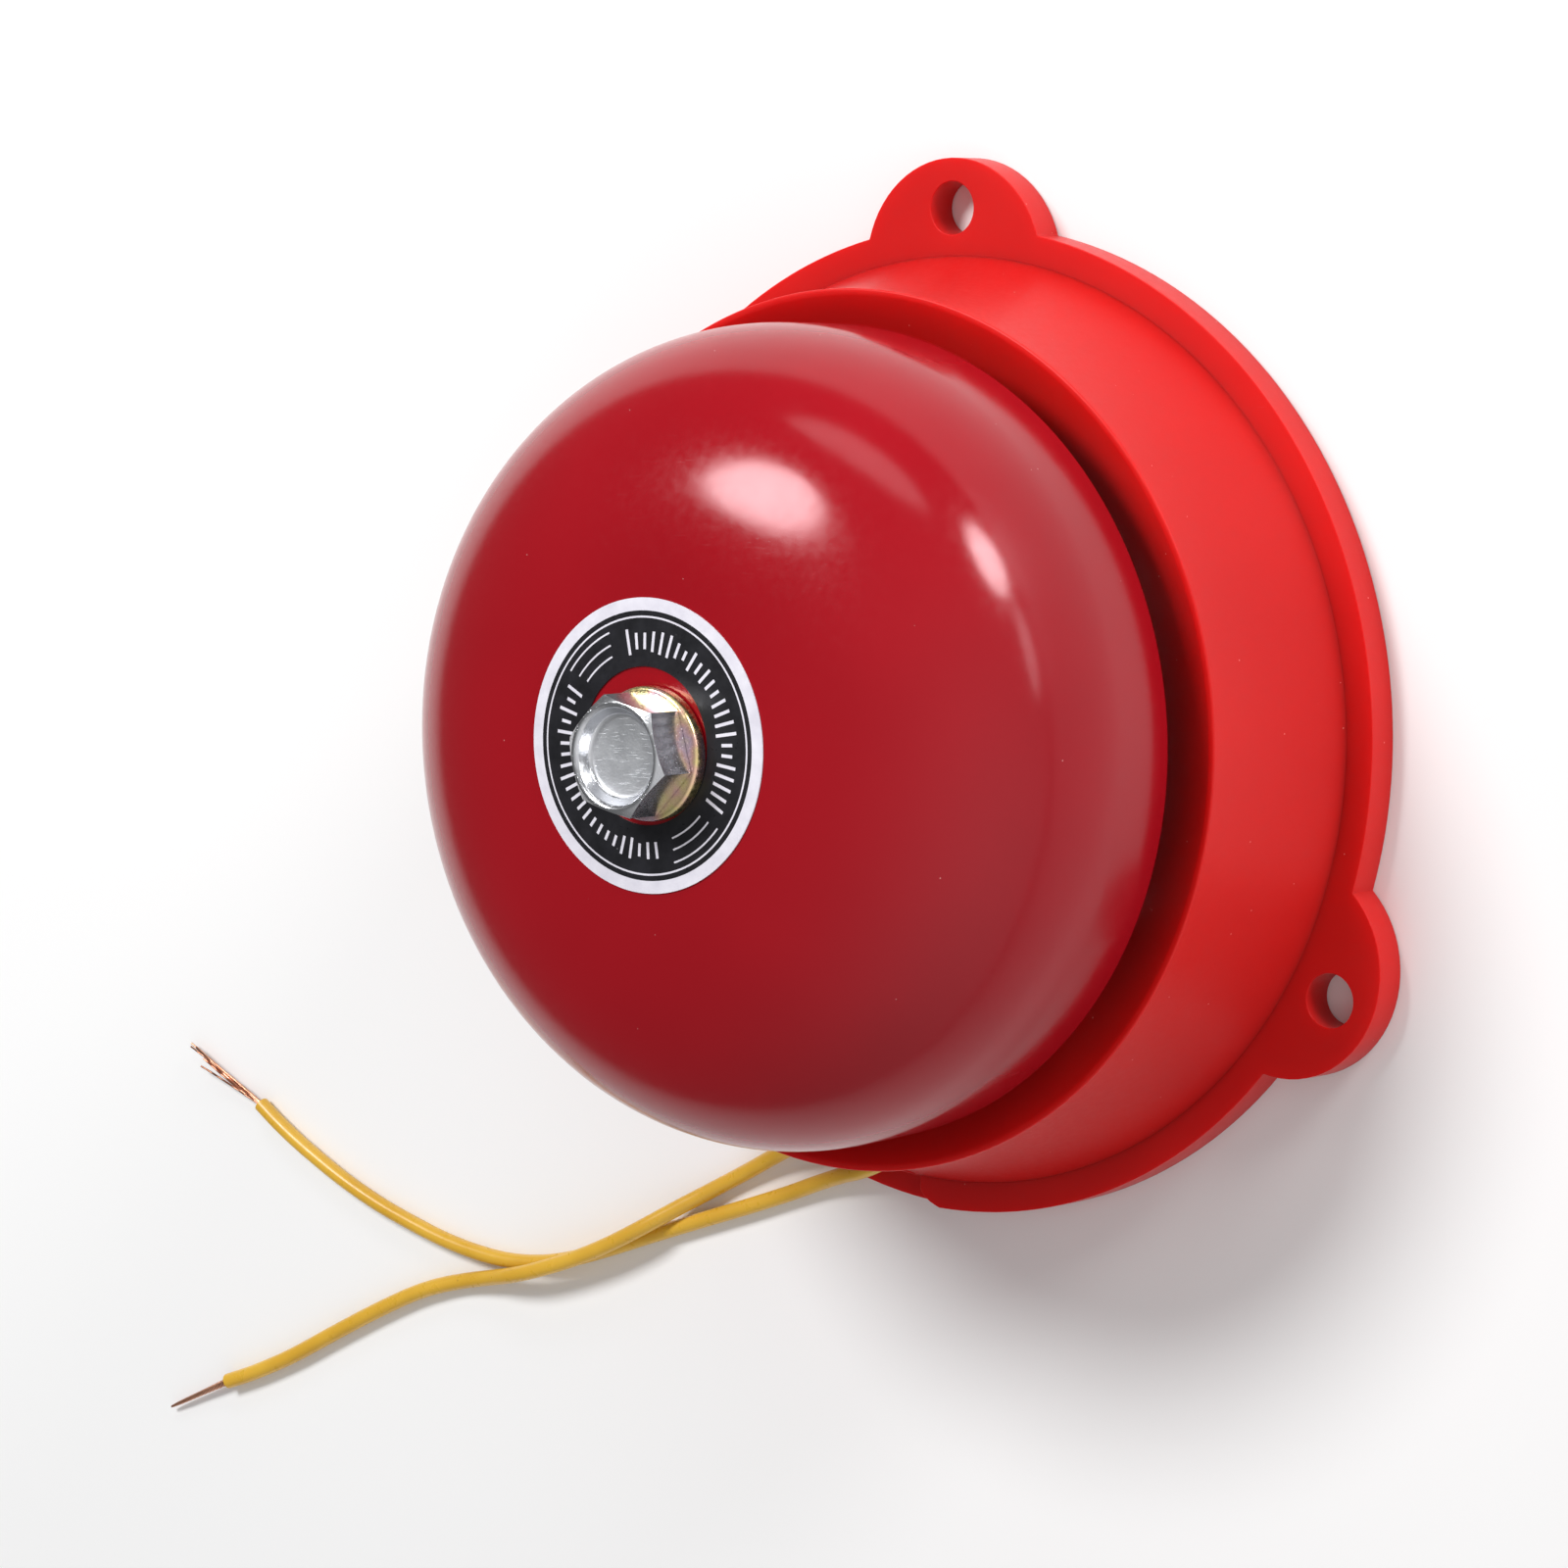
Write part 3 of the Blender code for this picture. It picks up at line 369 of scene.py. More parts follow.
def turned(name, profile, material, steps=96, closed=True, place=None, crease=35.0):
    """Spins (radius, height) points in metres round +Z, then moves the mesh with the place matrix."""
    shape = bmesh.new()
    verts = [shape.verts.new((radius, 0.0, height)) for radius, height in profile]
    edges = [shape.edges.new(pair) for pair in zip(verts, verts[1:])]
    if closed:
        edges.append(shape.edges.new((verts[-1], verts[0])))
    bmesh.ops.spin(shape, geom=verts + edges, cent=(0, 0, 0), axis=(0, 0, 1), angle=math.tau, steps=steps)
    tidy(shape)
    if place is not None:
        bmesh.ops.transform(shape, matrix=place, verts=shape.verts)
    return finish_mesh(name, shape, material, crease)


def filled(name, outline, holes, low, high, material, crease=35.0):
    """A flat plate: an outline with holes, filled and given its height."""
    curve = bpy.data.curves.new(name, "CURVE")
    curve.dimensions = "2D"
    curve.fill_mode = "BOTH"
    curve.extrude = (high - low) / 2
    for loop in [outline] + list(holes):
        spline = curve.splines.new("POLY")
        spline.points.add(len(loop) - 1)
        for point, (x, y) in zip(spline.points, loop):
            point.co = (x, y, 0.0, 1.0)
        spline.use_cyclic_u = True
    holder = add_object(name + "_outline", curve)
    shape = bmesh.new()
    shape.from_mesh(evaluated_mesh(holder))
    bpy.data.objects.remove(holder)
    bmesh.ops.translate(shape, verts=shape.verts, vec=(0, 0, (low + high) / 2))
    tidy(shape)
    bmesh.ops.dissolve_limit(shape, angle_limit=0.005, verts=shape.verts, edges=shape.edges)
    return finish_mesh(name, shape, material, crease)


def settle(piece, crease=None):
    """Replaces a piece by its evaluated mesh, with no modifiers left on it."""
    made = evaluated_mesh(piece)
    piece.modifiers.clear()
    piece.data = made
    if crease is not None:
        made.shade_smooth()
        made.set_sharp_from_angle(angle=math.radians(crease))
    return piece


def boolean(piece, tool, operation="DIFFERENCE"):
    step = piece.modifiers.new(operation.lower(), "BOOLEAN")
    step.operation = operation
    step.solver = "EXACT"
    step.object = tool
    settle(piece)
    bpy.data.objects.remove(tool)
    return piece


def bevel(piece, width, segments=3, angle=35.0):
    step = piece.modifiers.new("edges", "BEVEL")
    step.width = width
    step.segments = segments
    step.limit_method = "ANGLE"
    step.angle_limit = math.radians(angle)
    step.use_clamp_overlap = True
    step.harden_normals = True
    return settle(piece)


def circle(radius, steps, centre=(0.0, 0.0), start=0.0):
    return [(centre[0] + radius * math.cos(start + math.tau * k / steps),
             centre[1] + radius * math.sin(start + math.tau * k / steps)) for k in range(steps)]


def polar(radius, degrees):
    return radius * math.cos(math.radians(degrees)), radius * math.sin(math.radians(degrees))


def keep(piece, slot, *nodes, body=BODY):
    """Fixes a finished piece to its body and hides the working parts that it stands for; slot is not used."""
    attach(piece, body)
    if nodes:
        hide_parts(*nodes)
    size = f"{len(piece.data.polygons)} faces" if piece.type == "MESH" else "a curve"
    print(f"{piece.name}: {size}, rides on {body}")
    return piece


print("mesh helpers ready")

# %% [markdown]
# ## The two leads
#
# Each lead is 1.6 mm insulated wire that comes out of its splice inside the base, passes through a
# slot at the drum's foot, drops to the table and stays there. One passes over the other on a long
# low hump. A wire can't bend sharply, so its route is a smooth curve through a few chosen points,
# and where it lies on the table its points are one wire radius above it.

# %% Lead routes
LEAD_DIAMETER = 0.0016
LEAD_ROUTE_1 = [
    (-9.4, -31.5, 7.0), (-9.6, -34.0, 6.2), (-11.1, -37.0, 4.7), (-13.9, -38.95, 3.8),
    (-17.2, -40.35, 3.4), (-20.5, -41.7, 2.6), (-24.0, -43.15, 1.5), (-28.4, -45.25, 0.84),
    (-32.4, -47.2, 0.86), (-36.4, -49.3, 1.7), (-40.4, -51.5, 2.65), (-44.6, -53.5, 2.8),
    (-49.2, -55.3, 2.8), (-54.4, -56.9, 2.75), (-58.0, -57.75, 2.3), (-61.5, -58.4, 1.4),
    (-65.6, -59.15, 0.84), (-69.5, -60.1, 0.82), (-73.2, -61.4, 0.82), (-78.4, -63.7, 0.82),
    (-83.8, -66.3, 0.82), (-89.3, -69.0, 0.82), (-94.6, -71.2, 0.82), (-98.7, -72.6, 0.82),
]
LEAD_ROUTE_2 = [
    (-5.2, -31.5, 7.0), (-5.2, -34.2, 6.2), (-5.8, -37.2, 4.8), (-7.2, -40.1, 3.8),
    (-9.5, -42.4, 3.35), (-12.3, -43.6, 2.75), (-15.4, -44.4, 2.0), (-19.0, -45.5, 1.15),
    (-23.0, -46.9, 0.83), (-27.9, -48.5, 0.82), (-34.2, -50.45, 0.82), (-40.1, -52.3, 0.82),
    (-45.8, -54.15, 0.82), (-50.8, -55.6, 0.82), (-55.0, -56.35, 0.82), (-59.2, -56.5, 0.82),
    (-63.6, -56.0, 0.82), (-68.0, -55.05, 0.82), (-72.4, -53.7, 0.82), (-77.0, -52.05, 0.82),
    (-82.0, -49.8, 0.82), (-87.2, -46.95, 0.82), (-90.6, -44.8, 0.82), (-93.2, -42.9, 0.82),
]
BARE_END_TIP_1 = (-107.3, -76.2, 0.55)
BARE_END_TIP_2 = (-103.6, -37.4, 0.55)


def smooth_route(points, pieces_between):
    """A Catmull-Rom curve through the points."""
    knots = [Vector(p) for p in points]
    knots = [2 * knots[0] - knots[1]] + knots + [2 * knots[-1] - knots[-2]]
    fine = []
    for a, b, c, d in zip(knots, knots[1:], knots[2:], knots[3:]):
        for step in range(pieces_between):
            t = step / pieces_between
            fine.append(0.5 * (2 * b + (c - a) * t + (2 * a - 5 * b + 4 * c - d) * t ** 2
                               + (3 * b - a - 3 * c + d) * t ** 3))
    return fine + [knots[-2]]


def route_length(points):
    return sum((b - a).length for a, b in zip(points, points[1:]))


def tube_along(name, points, radius, material, resolution=5, radii=None):
    """A curve with a round bevel through points in metres; radii are shares of the radius."""
    curve = bpy.data.curves.new(name, "CURVE")
    curve.dimensions = "3D"
    curve.bevel_depth = radius
    curve.bevel_resolution = resolution
    curve.use_fill_caps = True
    spline = curve.splines.new("POLY")
    spline.points.add(len(points) - 1)
    for k, (point, place) in enumerate(zip(spline.points, points)):
        point.co = (*place, 1.0)
        point.radius = radii[k] if radii else 1.0
    spline.use_smooth = True
    curve.materials.append(material)
    return add_object(name, curve)


lead_paths = [[p * MM for p in smooth_route(route, 6)] for route in (LEAD_ROUTE_1, LEAD_ROUTE_2)]
for k, path in enumerate(lead_paths, 1):
    lowest = min(point.z for point in path)
    print(f"lead {k} is {route_length(path) / MM:.1f} mm long, lowest point {lowest / MM:.2f} mm")

# %% [markdown]
# The insulation is soft plastic: golden yellow, slightly waxy, with small darker specks. The
# stripped ends are bundles of fine strands. The first lead's strands are twisted to a point, so
# each follows a helix round the bundle's line; the second's were left loose, so they drift apart
# and one stands away from the rest. A seeded random generator keeps them the same in each run.


# %% Lead pieces
def make_yellow_insulation():
    material, tree, shader = new_finish("yellow_insulation", roughness=0.3)
    where = place_on_piece(tree)
    tone = cloud(tree, where, 120.0, 3.0, 0.5)
    colour = colour_steps(tree, tone, [(0.25, (0.62, 0.34, 0.025)), (0.75, (0.76, 0.46, 0.05))])
    grime = specks(tree, 0.0001, 0.002, 0.25)
    tree.links.new(blend_colour(tree, maths(tree, "MULTIPLY", grime, 0.5), colour, (0.3, 0.15, 0.03, 1.0)),
                   shader.inputs["Base Color"])
    skin = cloud(tree, where, 900.0, 2.0, 0.5)
    set_relief(tree, shader, skin, 0.000008)
    tree.links.new(remap(tree, skin, 0.3, 0.7, 0.26, 0.36), shader.inputs["Roughness"])
    shader.inputs["Subsurface Weight"].default_value = 0.08
    shader.inputs["Subsurface Radius"].default_value = (1.0, 0.6, 0.2)
    shader.inputs["Subsurface Scale"].default_value = 0.0004
    return material


yellow_insulation = make_yellow_insulation()
STRAND_RADIUS = 0.00011


def strand_mesh(name, strands, material):
    """One piece from several thin tubes."""
    shape = bmesh.new()
    for number, (points, radii) in enumerate(strands):
        tube = tube_along(f"{name}_{number}", points, STRAND_RADIUS, material, 1, radii)
        part = evaluated_mesh(tube)
        shape.from_mesh(part)
        bpy.data.objects.remove(tube)
        bpy.data.meshes.remove(part)
    tidy(shape)
    return finish_mesh(name, shape, material, 60.0)


def twisted_end(name, start, tip, count, turns, spread):
    """Strands wound round one line and drawn to a point."""
    line = tip - start
    side = line.cross(Vector((0, 0, 1))).normalized()
    up = side.cross(line).normalized()
    strands = []
    steps = 40
    for k in range(count):
        points = []
        for step in range(steps + 1):
            t = step / steps
            angle = math.tau * (k / count + turns * t)
            reach = spread * (0.85 + 0.15 * math.cos(6 * t)) * (1 - 0.75 * t ** 3)
            points.append(start + line * t + (side * math.cos(angle) + up * math.sin(angle)) * reach)
        strands.append((points, [1 - 0.5 * (s / steps) ** 4 for s in range(steps + 1)]))
    return strand_mesh(name, strands, copper_strand)


def loose_end(name, start, tip, count, spread, seed):
    """Strands that leave together and drift apart, each a little different."""
    drift = random.Random(seed)
    line = tip - start
    side = line.cross(Vector((0, 0, 1))).normalized()
    up = side.cross(line).normalized()
    strands = []
    steps = 18
    for k in range(count):
        angle = math.tau * k / count
        lean = drift.uniform(-1, 1)
        reach = drift.uniform(0.72, 1.0)
        wave = drift.uniform(0.4, 1.2)
        lift = drift.uniform(-0.1, 0.9)
        points = []
        for step in range(steps + 1):
            t = step / steps
            away = spread * (0.8 + 1.6 * t * t * abs(lean))
            across = math.cos(angle) * away + lean * spread * 2.2 * t ** 2
            above = math.sin(angle) * away * 0.8 + lift * spread * 0.8 * t
            wobble = math.sin(math.tau * wave * t + angle) * spread * 0.45
            point = start + line * (t * reach) + side * (across + wobble) + up * above
            point.z = max(point.z, STRAND_RADIUS * 1.2)
            points.append(point)
        strands.append((points, [1.0] * (steps + 1)))
    return strand_mesh(name, strands, copper_strand)


def make_leads():
    for k, path in enumerate(lead_paths, 1):
        lead = tube_along(f"yellow_lead_{k}", path, LEAD_DIAMETER / 2, yellow_insulation)
        onward = (path[-1] - path[-2]).normalized()
        start = path[-1] - onward * 0.2 * MM
        if k == 1:
            bare = twisted_end("twisted_strands", start, Vector(BARE_END_TIP_1) * MM,
                               count=7, turns=2.2, spread=0.00027)
        else:
            bare = loose_end("loose_strands", start, Vector(BARE_END_TIP_2) * MM,
                             count=9, spread=0.00022, seed=5)
        keep(bare, "copper_wire", f"bare_end_{k}")
        keep(lead, "yellow_insulation", f"lead_wire_{k}")


make_leads()

# %% [markdown]
# ## The gong
#
# A pressed dome like this one follows a rule: a straight skirt that turns into a nearly flat crown
# along a superellipse, which is a circle's formula with other powers. It could be lathed from a
# drawn profile, but here Geometry Nodes bend a plain grid into the dome, so that each size and both
# powers stay inputs to play with. Solidify then gives the sheet its thickness.

# %% Gong by Geometry Nodes
GONG_SKIRT_RADIUS = gong_high.x
GONG_RIM_RADIUS = GONG_SKIRT_RADIUS - 0.0002
GONG_RIM_Z = gong_low.z
GONG_TOP_Z = gong_high.z
GONG_SKIRT_TOP = GONG_RIM_Z + 0.0078
GONG_SHEET = 0.0014
GONG_HOLE_RADIUS = 0.0043
RADIAL_POWER = 3.6
AXIAL_POWER = 2.04
GONG_HOLE_ANGLE = math.acos((GONG_HOLE_RADIUS / GONG_SKIRT_RADIUS) ** (RADIAL_POWER / 2))


def new_geometry_tree(name, sizes):
    """A Geometry Nodes tree with one named input for each size, and {name: socket} to read them."""
    tree = bpy.data.node_groups.new(name, "GeometryNodeTree")
    tree.interface.new_socket(name="Geometry", in_out="OUTPUT", socket_type="NodeSocketGeometry")
    for size, value in sizes.items():
        kind = "NodeSocketInt" if isinstance(value, int) else "NodeSocketFloat"
        made = tree.interface.new_socket(name=size, in_out="INPUT", socket_type=kind)
        made.default_value = value
    entry = put(tree, "NodeGroupInput")
    return tree, {size: entry.outputs[size] for size in sizes}


def place_round_axis(tree, radius, angle, height=0.0):
    """A position given by its distance from the Z axis, its angle round it and its height."""
    x = maths(tree, "MULTIPLY", maths(tree, "COSINE", angle), radius)
    y = maths(tree, "MULTIPLY", maths(tree, "SINE", angle), radius)
    return put(tree, "ShaderNodeCombineXYZ", {0: x, 1: y, 2: height}).outputs[0]


def row_of_points(tree, count, place):
    """That many points, each moved to the place worked out from its own number."""
    line = put(tree, "GeometryNodeMeshLine", {"Count": count, "Offset": (0.0, 0.0, 0.0)}).outputs[0]
    return put(tree, "GeometryNodeSetPosition", {"Geometry": line, "Position": place}).outputs[0]


def close_tree(tree, geometry, material):
    """Every tree ends in real geometry with its material set."""
    real = put(tree, "GeometryNodeRealizeInstances", {0: geometry}).outputs[0]
    coloured = put(tree, "GeometryNodeSetMaterial", {"Geometry": real, "Material": material}).outputs[0]
    leave = put(tree, "NodeGroupOutput")
    tree.links.new(coloured, leave.inputs[0])


def run_tree(name, tree, values):
    """Runs a tree on an empty mesh and returns the result as a plain mesh object."""
    holder = add_object(name, bpy.data.meshes.new(name))
    step = holder.modifiers.new("build", "NODES")
    step.node_group = tree
    for item in tree.interface.items_tree:
        if item.in_out == "INPUT" and item.name in values:
            step[item.identifier] = values[item.name]
    made = evaluated_mesh(holder)
    bpy.data.objects.remove(holder)
    made.name = name
    return add_object(name, made)


GONG_SIZES = {
    "Skirt radius": GONG_SKIRT_RADIUS, "Rim radius": GONG_RIM_RADIUS, "Rim height": GONG_RIM_Z,
    "Skirt top": GONG_SKIRT_TOP, "Crown height": GONG_TOP_Z, "Hole angle": GONG_HOLE_ANGLE,
    "Radial power": RADIAL_POWER, "Axial power": AXIAL_POWER, "Shoulder share": 0.8,
    "Columns": 193, "Rows": 81,
}


def build_gong_tree():
    tree, size = new_geometry_tree("gong_dome", GONG_SIZES)
    grid = put(tree, "GeometryNodeMeshGrid", {"Size X": 1.0, "Size Y": 1.0, "Vertices X": size["Columns"],
                                              "Vertices Y": size["Rows"]})
    position = put(tree, "GeometryNodeInputPosition").outputs[0]
    parts = put(tree, "ShaderNodeSeparateXYZ", {0: position})
    around = maths(tree, "MULTIPLY", maths(tree, "ADD", parts.outputs["X"], 0.5), math.tau)
    down = maths(tree, "ADD", parts.outputs["Y"], 0.5)
    on_shoulder = maths(tree, "MINIMUM", maths(tree, "DIVIDE", down, size["Shoulder share"]), 1.0)
    on_skirt = remap(tree, down, size["Shoulder share"], 1.0)
    angle = maths(tree, "MULTIPLY", maths(tree, "SUBTRACT", 1.0, on_shoulder), size["Hole angle"])
    out = maths(tree, "POWER", maths(tree, "COSINE", angle), maths(tree, "DIVIDE", 2.0, size["Radial power"]))
    up = maths(tree, "POWER", maths(tree, "SINE", angle), maths(tree, "DIVIDE", 2.0, size["Axial power"]))
    taper = maths(tree, "SUBTRACT", size["Skirt radius"], size["Rim radius"])
    drawn_in = maths(tree, "MULTIPLY", on_skirt, taper)
    radius = maths(tree, "SUBTRACT", maths(tree, "MULTIPLY", out, size["Skirt radius"]), drawn_in)
    dome = maths(tree, "MULTIPLY", up, maths(tree, "SUBTRACT", size["Crown height"], size["Skirt top"]))
    drop = maths(tree, "MULTIPLY", on_skirt, maths(tree, "SUBTRACT", size["Skirt top"], size["Rim height"]))
    height = maths(tree, "SUBTRACT", maths(tree, "ADD", size["Skirt top"], dome), drop)
    place = place_round_axis(tree, radius, around, height)
    flat = grid.outputs["Mesh"]
    bent = put(tree, "GeometryNodeSetPosition", {"Geometry": flat, "Position": place}).outputs[0]
    sewn = put(tree, "GeometryNodeMergeByDistance", {"Geometry": bent, "Distance": 0.00001}).outputs[0]
    close_tree(tree, sewn, gong_paint)
    return tree


def gong_height(radius):
    """The height of the gong's outside at a radius on its crown or shoulder."""
    angle = math.acos(min(1.0, (radius / GONG_SKIRT_RADIUS) ** (RADIAL_POWER / 2)))
    return GONG_SKIRT_TOP + (GONG_TOP_Z - GONG_SKIRT_TOP) * math.sin(angle) ** (2 / AXIAL_POWER)


def make_gong():
    gong = run_tree("gong_dome", build_gong_tree(), GONG_SIZES)
    shape = bmesh.new()
    shape.from_mesh(gong.data)
    bmesh.ops.recalc_face_normals(shape, faces=shape.faces)
    highest = max(shape.faces, key=lambda face: face.calc_center_median().z)
    if highest.normal.z < 0:
        bmesh.ops.reverse_faces(shape, faces=shape.faces)
    shape.to_mesh(gong.data)
    shape.free()
    wall = gong.modifiers.new("sheet", "SOLIDIFY")
    wall.thickness = GONG_SHEET
    wall.offset = -1.0
    wall.use_even_offset = True
    settle(gong)
    bevel(gong, 0.0004, 3, 50.0)
    gong.data.shade_smooth()
    return keep(gong, "gong_red_paint", "gong")


make_gong()
print(f"gong sheet {GONG_SHEET / MM:.1f} mm; crown at {gong_height(0.01) / MM:.2f} mm, 10 mm out")

# %% [markdown]
# ## The label
#
# A round printed label is stuck to the crown, a little off centre. It is a thin ring that follows
# the dome, so each of its points is lifted to the dome's own height. Its black face, fine white
# ring and pale border are separate bands of faces, which keeps their edges crisp. The print is made
# generic here: short bars of uneven length and two groups of curved lines, spread round the band by
# Geometry Nodes.

# %% Label
LABEL_CENTRE = (0.0, 0.0004)
LABEL_INNER = 0.00705
LABEL_OUTER = 0.01314
LABEL_SHEET = 0.00012
LABEL_BANDS = (LABEL_INNER, 0.01136, 0.01153, 0.01200, LABEL_OUTER)
BAND_IS_WHITE = (False, True, False, True)


def make_print_ink(name, dark, light, roughness):
    material, tree, shader = new_finish(name, roughness=roughness, specular=0.25)
    where = place_on_piece(tree)
    tone = cloud(tree, where, 500.0, 3.0, 0.6)
    wear = specks(tree, 0.00006, 0.0012, 0.2)
    colour = colour_steps(tree, tone, [(0.3, dark), (0.7, light)])
    grey = (0.35, 0.34, 0.36, 1.0)
    worn = blend_colour(tree, maths(tree, "MULTIPLY", wear, 0.5), colour, grey)
    tree.links.new(worn, shader.inputs["Base Color"])
    film = cloud(tree, where, 1500.0, 2.0, 0.5)
    set_relief(tree, shader, film, 0.000008)
    rough = remap(tree, film, 0.3, 0.7, roughness - 0.05, roughness + 0.08)
    tree.links.new(rough, shader.inputs["Roughness"])
    return material


black_ink = make_print_ink("label_black", (0.010, 0.010, 0.012), (0.018, 0.018, 0.022), 0.32)
white_ink = make_print_ink("label_white", (0.66, 0.64, 0.72), (0.78, 0.76, 0.83), 0.35)


def drape_on_gong(mesh, lift):
    """Lifts points given in the label's own plane onto the dome; their z is kept as extra height."""
    for vertex in mesh.vertices:
        x = vertex.co.x + LABEL_CENTRE[0]
        y = vertex.co.y + LABEL_CENTRE[1]
        vertex.co = (x, y, gong_height(math.hypot(x, y)) + lift + vertex.co.z)


def make_label():
    steps = 180
    radii = []
    whites = []
    for inner, outer, white in zip(LABEL_BANDS, LABEL_BANDS[1:], BAND_IS_WHITE):
        cuts = max(1, round((outer - inner) / 0.0008))
        radii += [inner + (outer - inner) * k / cuts for k in range(cuts)]
        whites += [white] * cuts
    radii.append(LABEL_OUTER)
    shape = bmesh.new()
    rings = [[shape.verts.new((*point, LABEL_SHEET)) for point in circle(radius, steps)] for radius in radii]
    under = [[shape.verts.new((*point, 0.0)) for point in circle(radius, steps)] for radius in radii]
    for layer, flipped in ((rings, False), (under, True)):
        for number, (first, second) in enumerate(zip(layer, layer[1:])):
            for k in range(steps):
                corners = [first[k], second[k], second[(k + 1) % steps], first[(k + 1) % steps]]
                face = shape.faces.new(corners[::-1] if flipped else corners)
                face.material_index = 1 if whites[number] else 0
    for top, bottom, white in ((rings[-1], under[-1], 1), (under[0], rings[0], 0)):
        for k in range(steps):
            face = shape.faces.new([bottom[k], bottom[(k + 1) % steps], top[(k + 1) % steps], top[k]])
            face.material_index = white
    tidy(shape)
    label = finish_mesh("round_label", shape, black_ink, 60.0)
    label.data.materials.append(white_ink)
    drape_on_gong(label.data, 0.00002)
    return keep(label, "label_face", "label_ring")


make_label()

# %% [markdown]
# The bars are one small block, repeated round an arc. The tree draws the arc, puts points along it,
# turns each block to face outwards and stretches it by a random amount from a fixed seed. The same
# tree serves both runs of bars, because each run's start and sweep are inputs. The curved lines are
# thin strips along circles. All of it is then draped on the dome like the label itself.

# %% Label marks by Geometry Nodes
BAR_SIZES = {
    "Band radius": 0.0093, "Start": 0.0, "Sweep": 1.0, "Bars": 10, "Bar width": 0.00029,
    "Bar length": 0.0023, "Shortest": 0.35, "Seed": 3, "Thickness": 0.00003,
}
BAR_RUNS = ((-33.0, 134.0, 24), (150.0, 127.0, 22))
CURVED_GROUPS = ((112.0, 143.0), (287.0, 319.0))
CURVED_RADII = (0.0107, 0.0096, 0.0086)


def build_bar_tree():
    tree, size = new_geometry_tree("label_bars", BAR_SIZES)
    number = put(tree, "GeometryNodeInputIndex").outputs[0]
    share = maths(tree, "DIVIDE", number, maths(tree, "SUBTRACT", size["Bars"], 1.0))
    angle = maths(tree, "ADD", size["Start"], maths(tree, "MULTIPLY", share, size["Sweep"]))
    points = row_of_points(tree, size["Bars"], place_round_axis(tree, size["Band radius"], angle))
    block_size = put(tree, "ShaderNodeCombineXYZ", {0: size["Bar length"], 1: size["Bar width"],
                                                    2: size["Thickness"]}).outputs[0]
    block = put(tree, "GeometryNodeMeshCube", {"Size": block_size, "Vertices X": 5}).outputs["Mesh"]
    turn = put(tree, "ShaderNodeCombineXYZ", {2: angle}).outputs[0]
    chance = put(tree, "FunctionNodeRandomValue", {"Seed": size["Seed"]}, data_type="FLOAT")
    chance.inputs[2].default_value = 0.0
    chance.inputs[3].default_value = 1.0
    longer = remap(tree, chance.outputs[1], 0.0, 1.0, size["Shortest"], 1.0)
    stretch = put(tree, "ShaderNodeCombineXYZ", {0: longer, 1: 1.0, 2: 1.0}).outputs[0]
    bars = put(tree, "GeometryNodeInstanceOnPoints", {"Points": points, "Instance": block, "Rotation": turn,
                                                      "Scale": stretch}).outputs[0]
    close_tree(tree, bars, white_ink)
    return tree


def curved_strip(shape, radius, first, last, width, height):
    """A thin flat-topped strip along part of a circle."""
    steps = 24
    rows = []
    for k in range(steps + 1):
        angle = first + (last - first) * k / steps
        rows.append([shape.verts.new((*polar(radius + side * width / 2, angle), level))
                     for side, level in ((-1, 0.0), (-1, height), (1, height), (1, 0.0))])
    for before, after in zip(rows, rows[1:]):
        for k in range(4):
            shape.faces.new([before[k], after[k], after[(k + 1) % 4], before[(k + 1) % 4]])
    shape.faces.new(rows[0])
    shape.faces.new(rows[-1][::-1])


def make_label_marks():
    tree = build_bar_tree()
    shape = bmesh.new()
    for number, (start, sweep, bars) in enumerate(BAR_RUNS):
        values = dict(BAR_SIZES, Start=math.radians(start), Sweep=math.radians(sweep), Bars=bars,
                      Seed=BAR_SIZES["Seed"] + number)
        run = run_tree("bars", tree, values)
        shape.from_mesh(run.data)
        bpy.data.objects.remove(run)
    for first, last in CURVED_GROUPS:
        middle = (first + last) / 2
        for k, radius in enumerate(CURVED_RADII):
            half = (last - first) / 2 * (1.0 - 0.1 * k)
            curved_strip(shape, radius, middle - half, middle + half, 0.00016, 0.00003)
    tidy(shape)
    marks = finish_mesh("label_marks", shape, white_ink, 30.0)
    drape_on_gong(marks.data, LABEL_SHEET + 0.00002)
    return keep(marks, "label_face")


make_label_marks()

# %% [markdown]
# ## The bolt and its washer
#
# The bolt is cold headed: a hexagon with a turned chamfer and a round dish in its top. The easiest
# true way to a chamfered hexagon is the maker's own: a turned blank, cut to six flats. The small
# bevel afterwards catches the light along each edge. The washer is punched, so one edge is round.

# %% Bolt and washer
bolt_low, bolt_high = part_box("gong_bolt")
washer_low, washer_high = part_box("gong_washer")
BOLT_FLATS = 0.0097
BOLT_TURN = math.radians(44.5)
STACK_CENTRE = (washer_low + washer_high) / 2
STACK_PLACE = Matrix.Translation((STACK_CENTRE.x, STACK_CENTRE.y, 0.0))


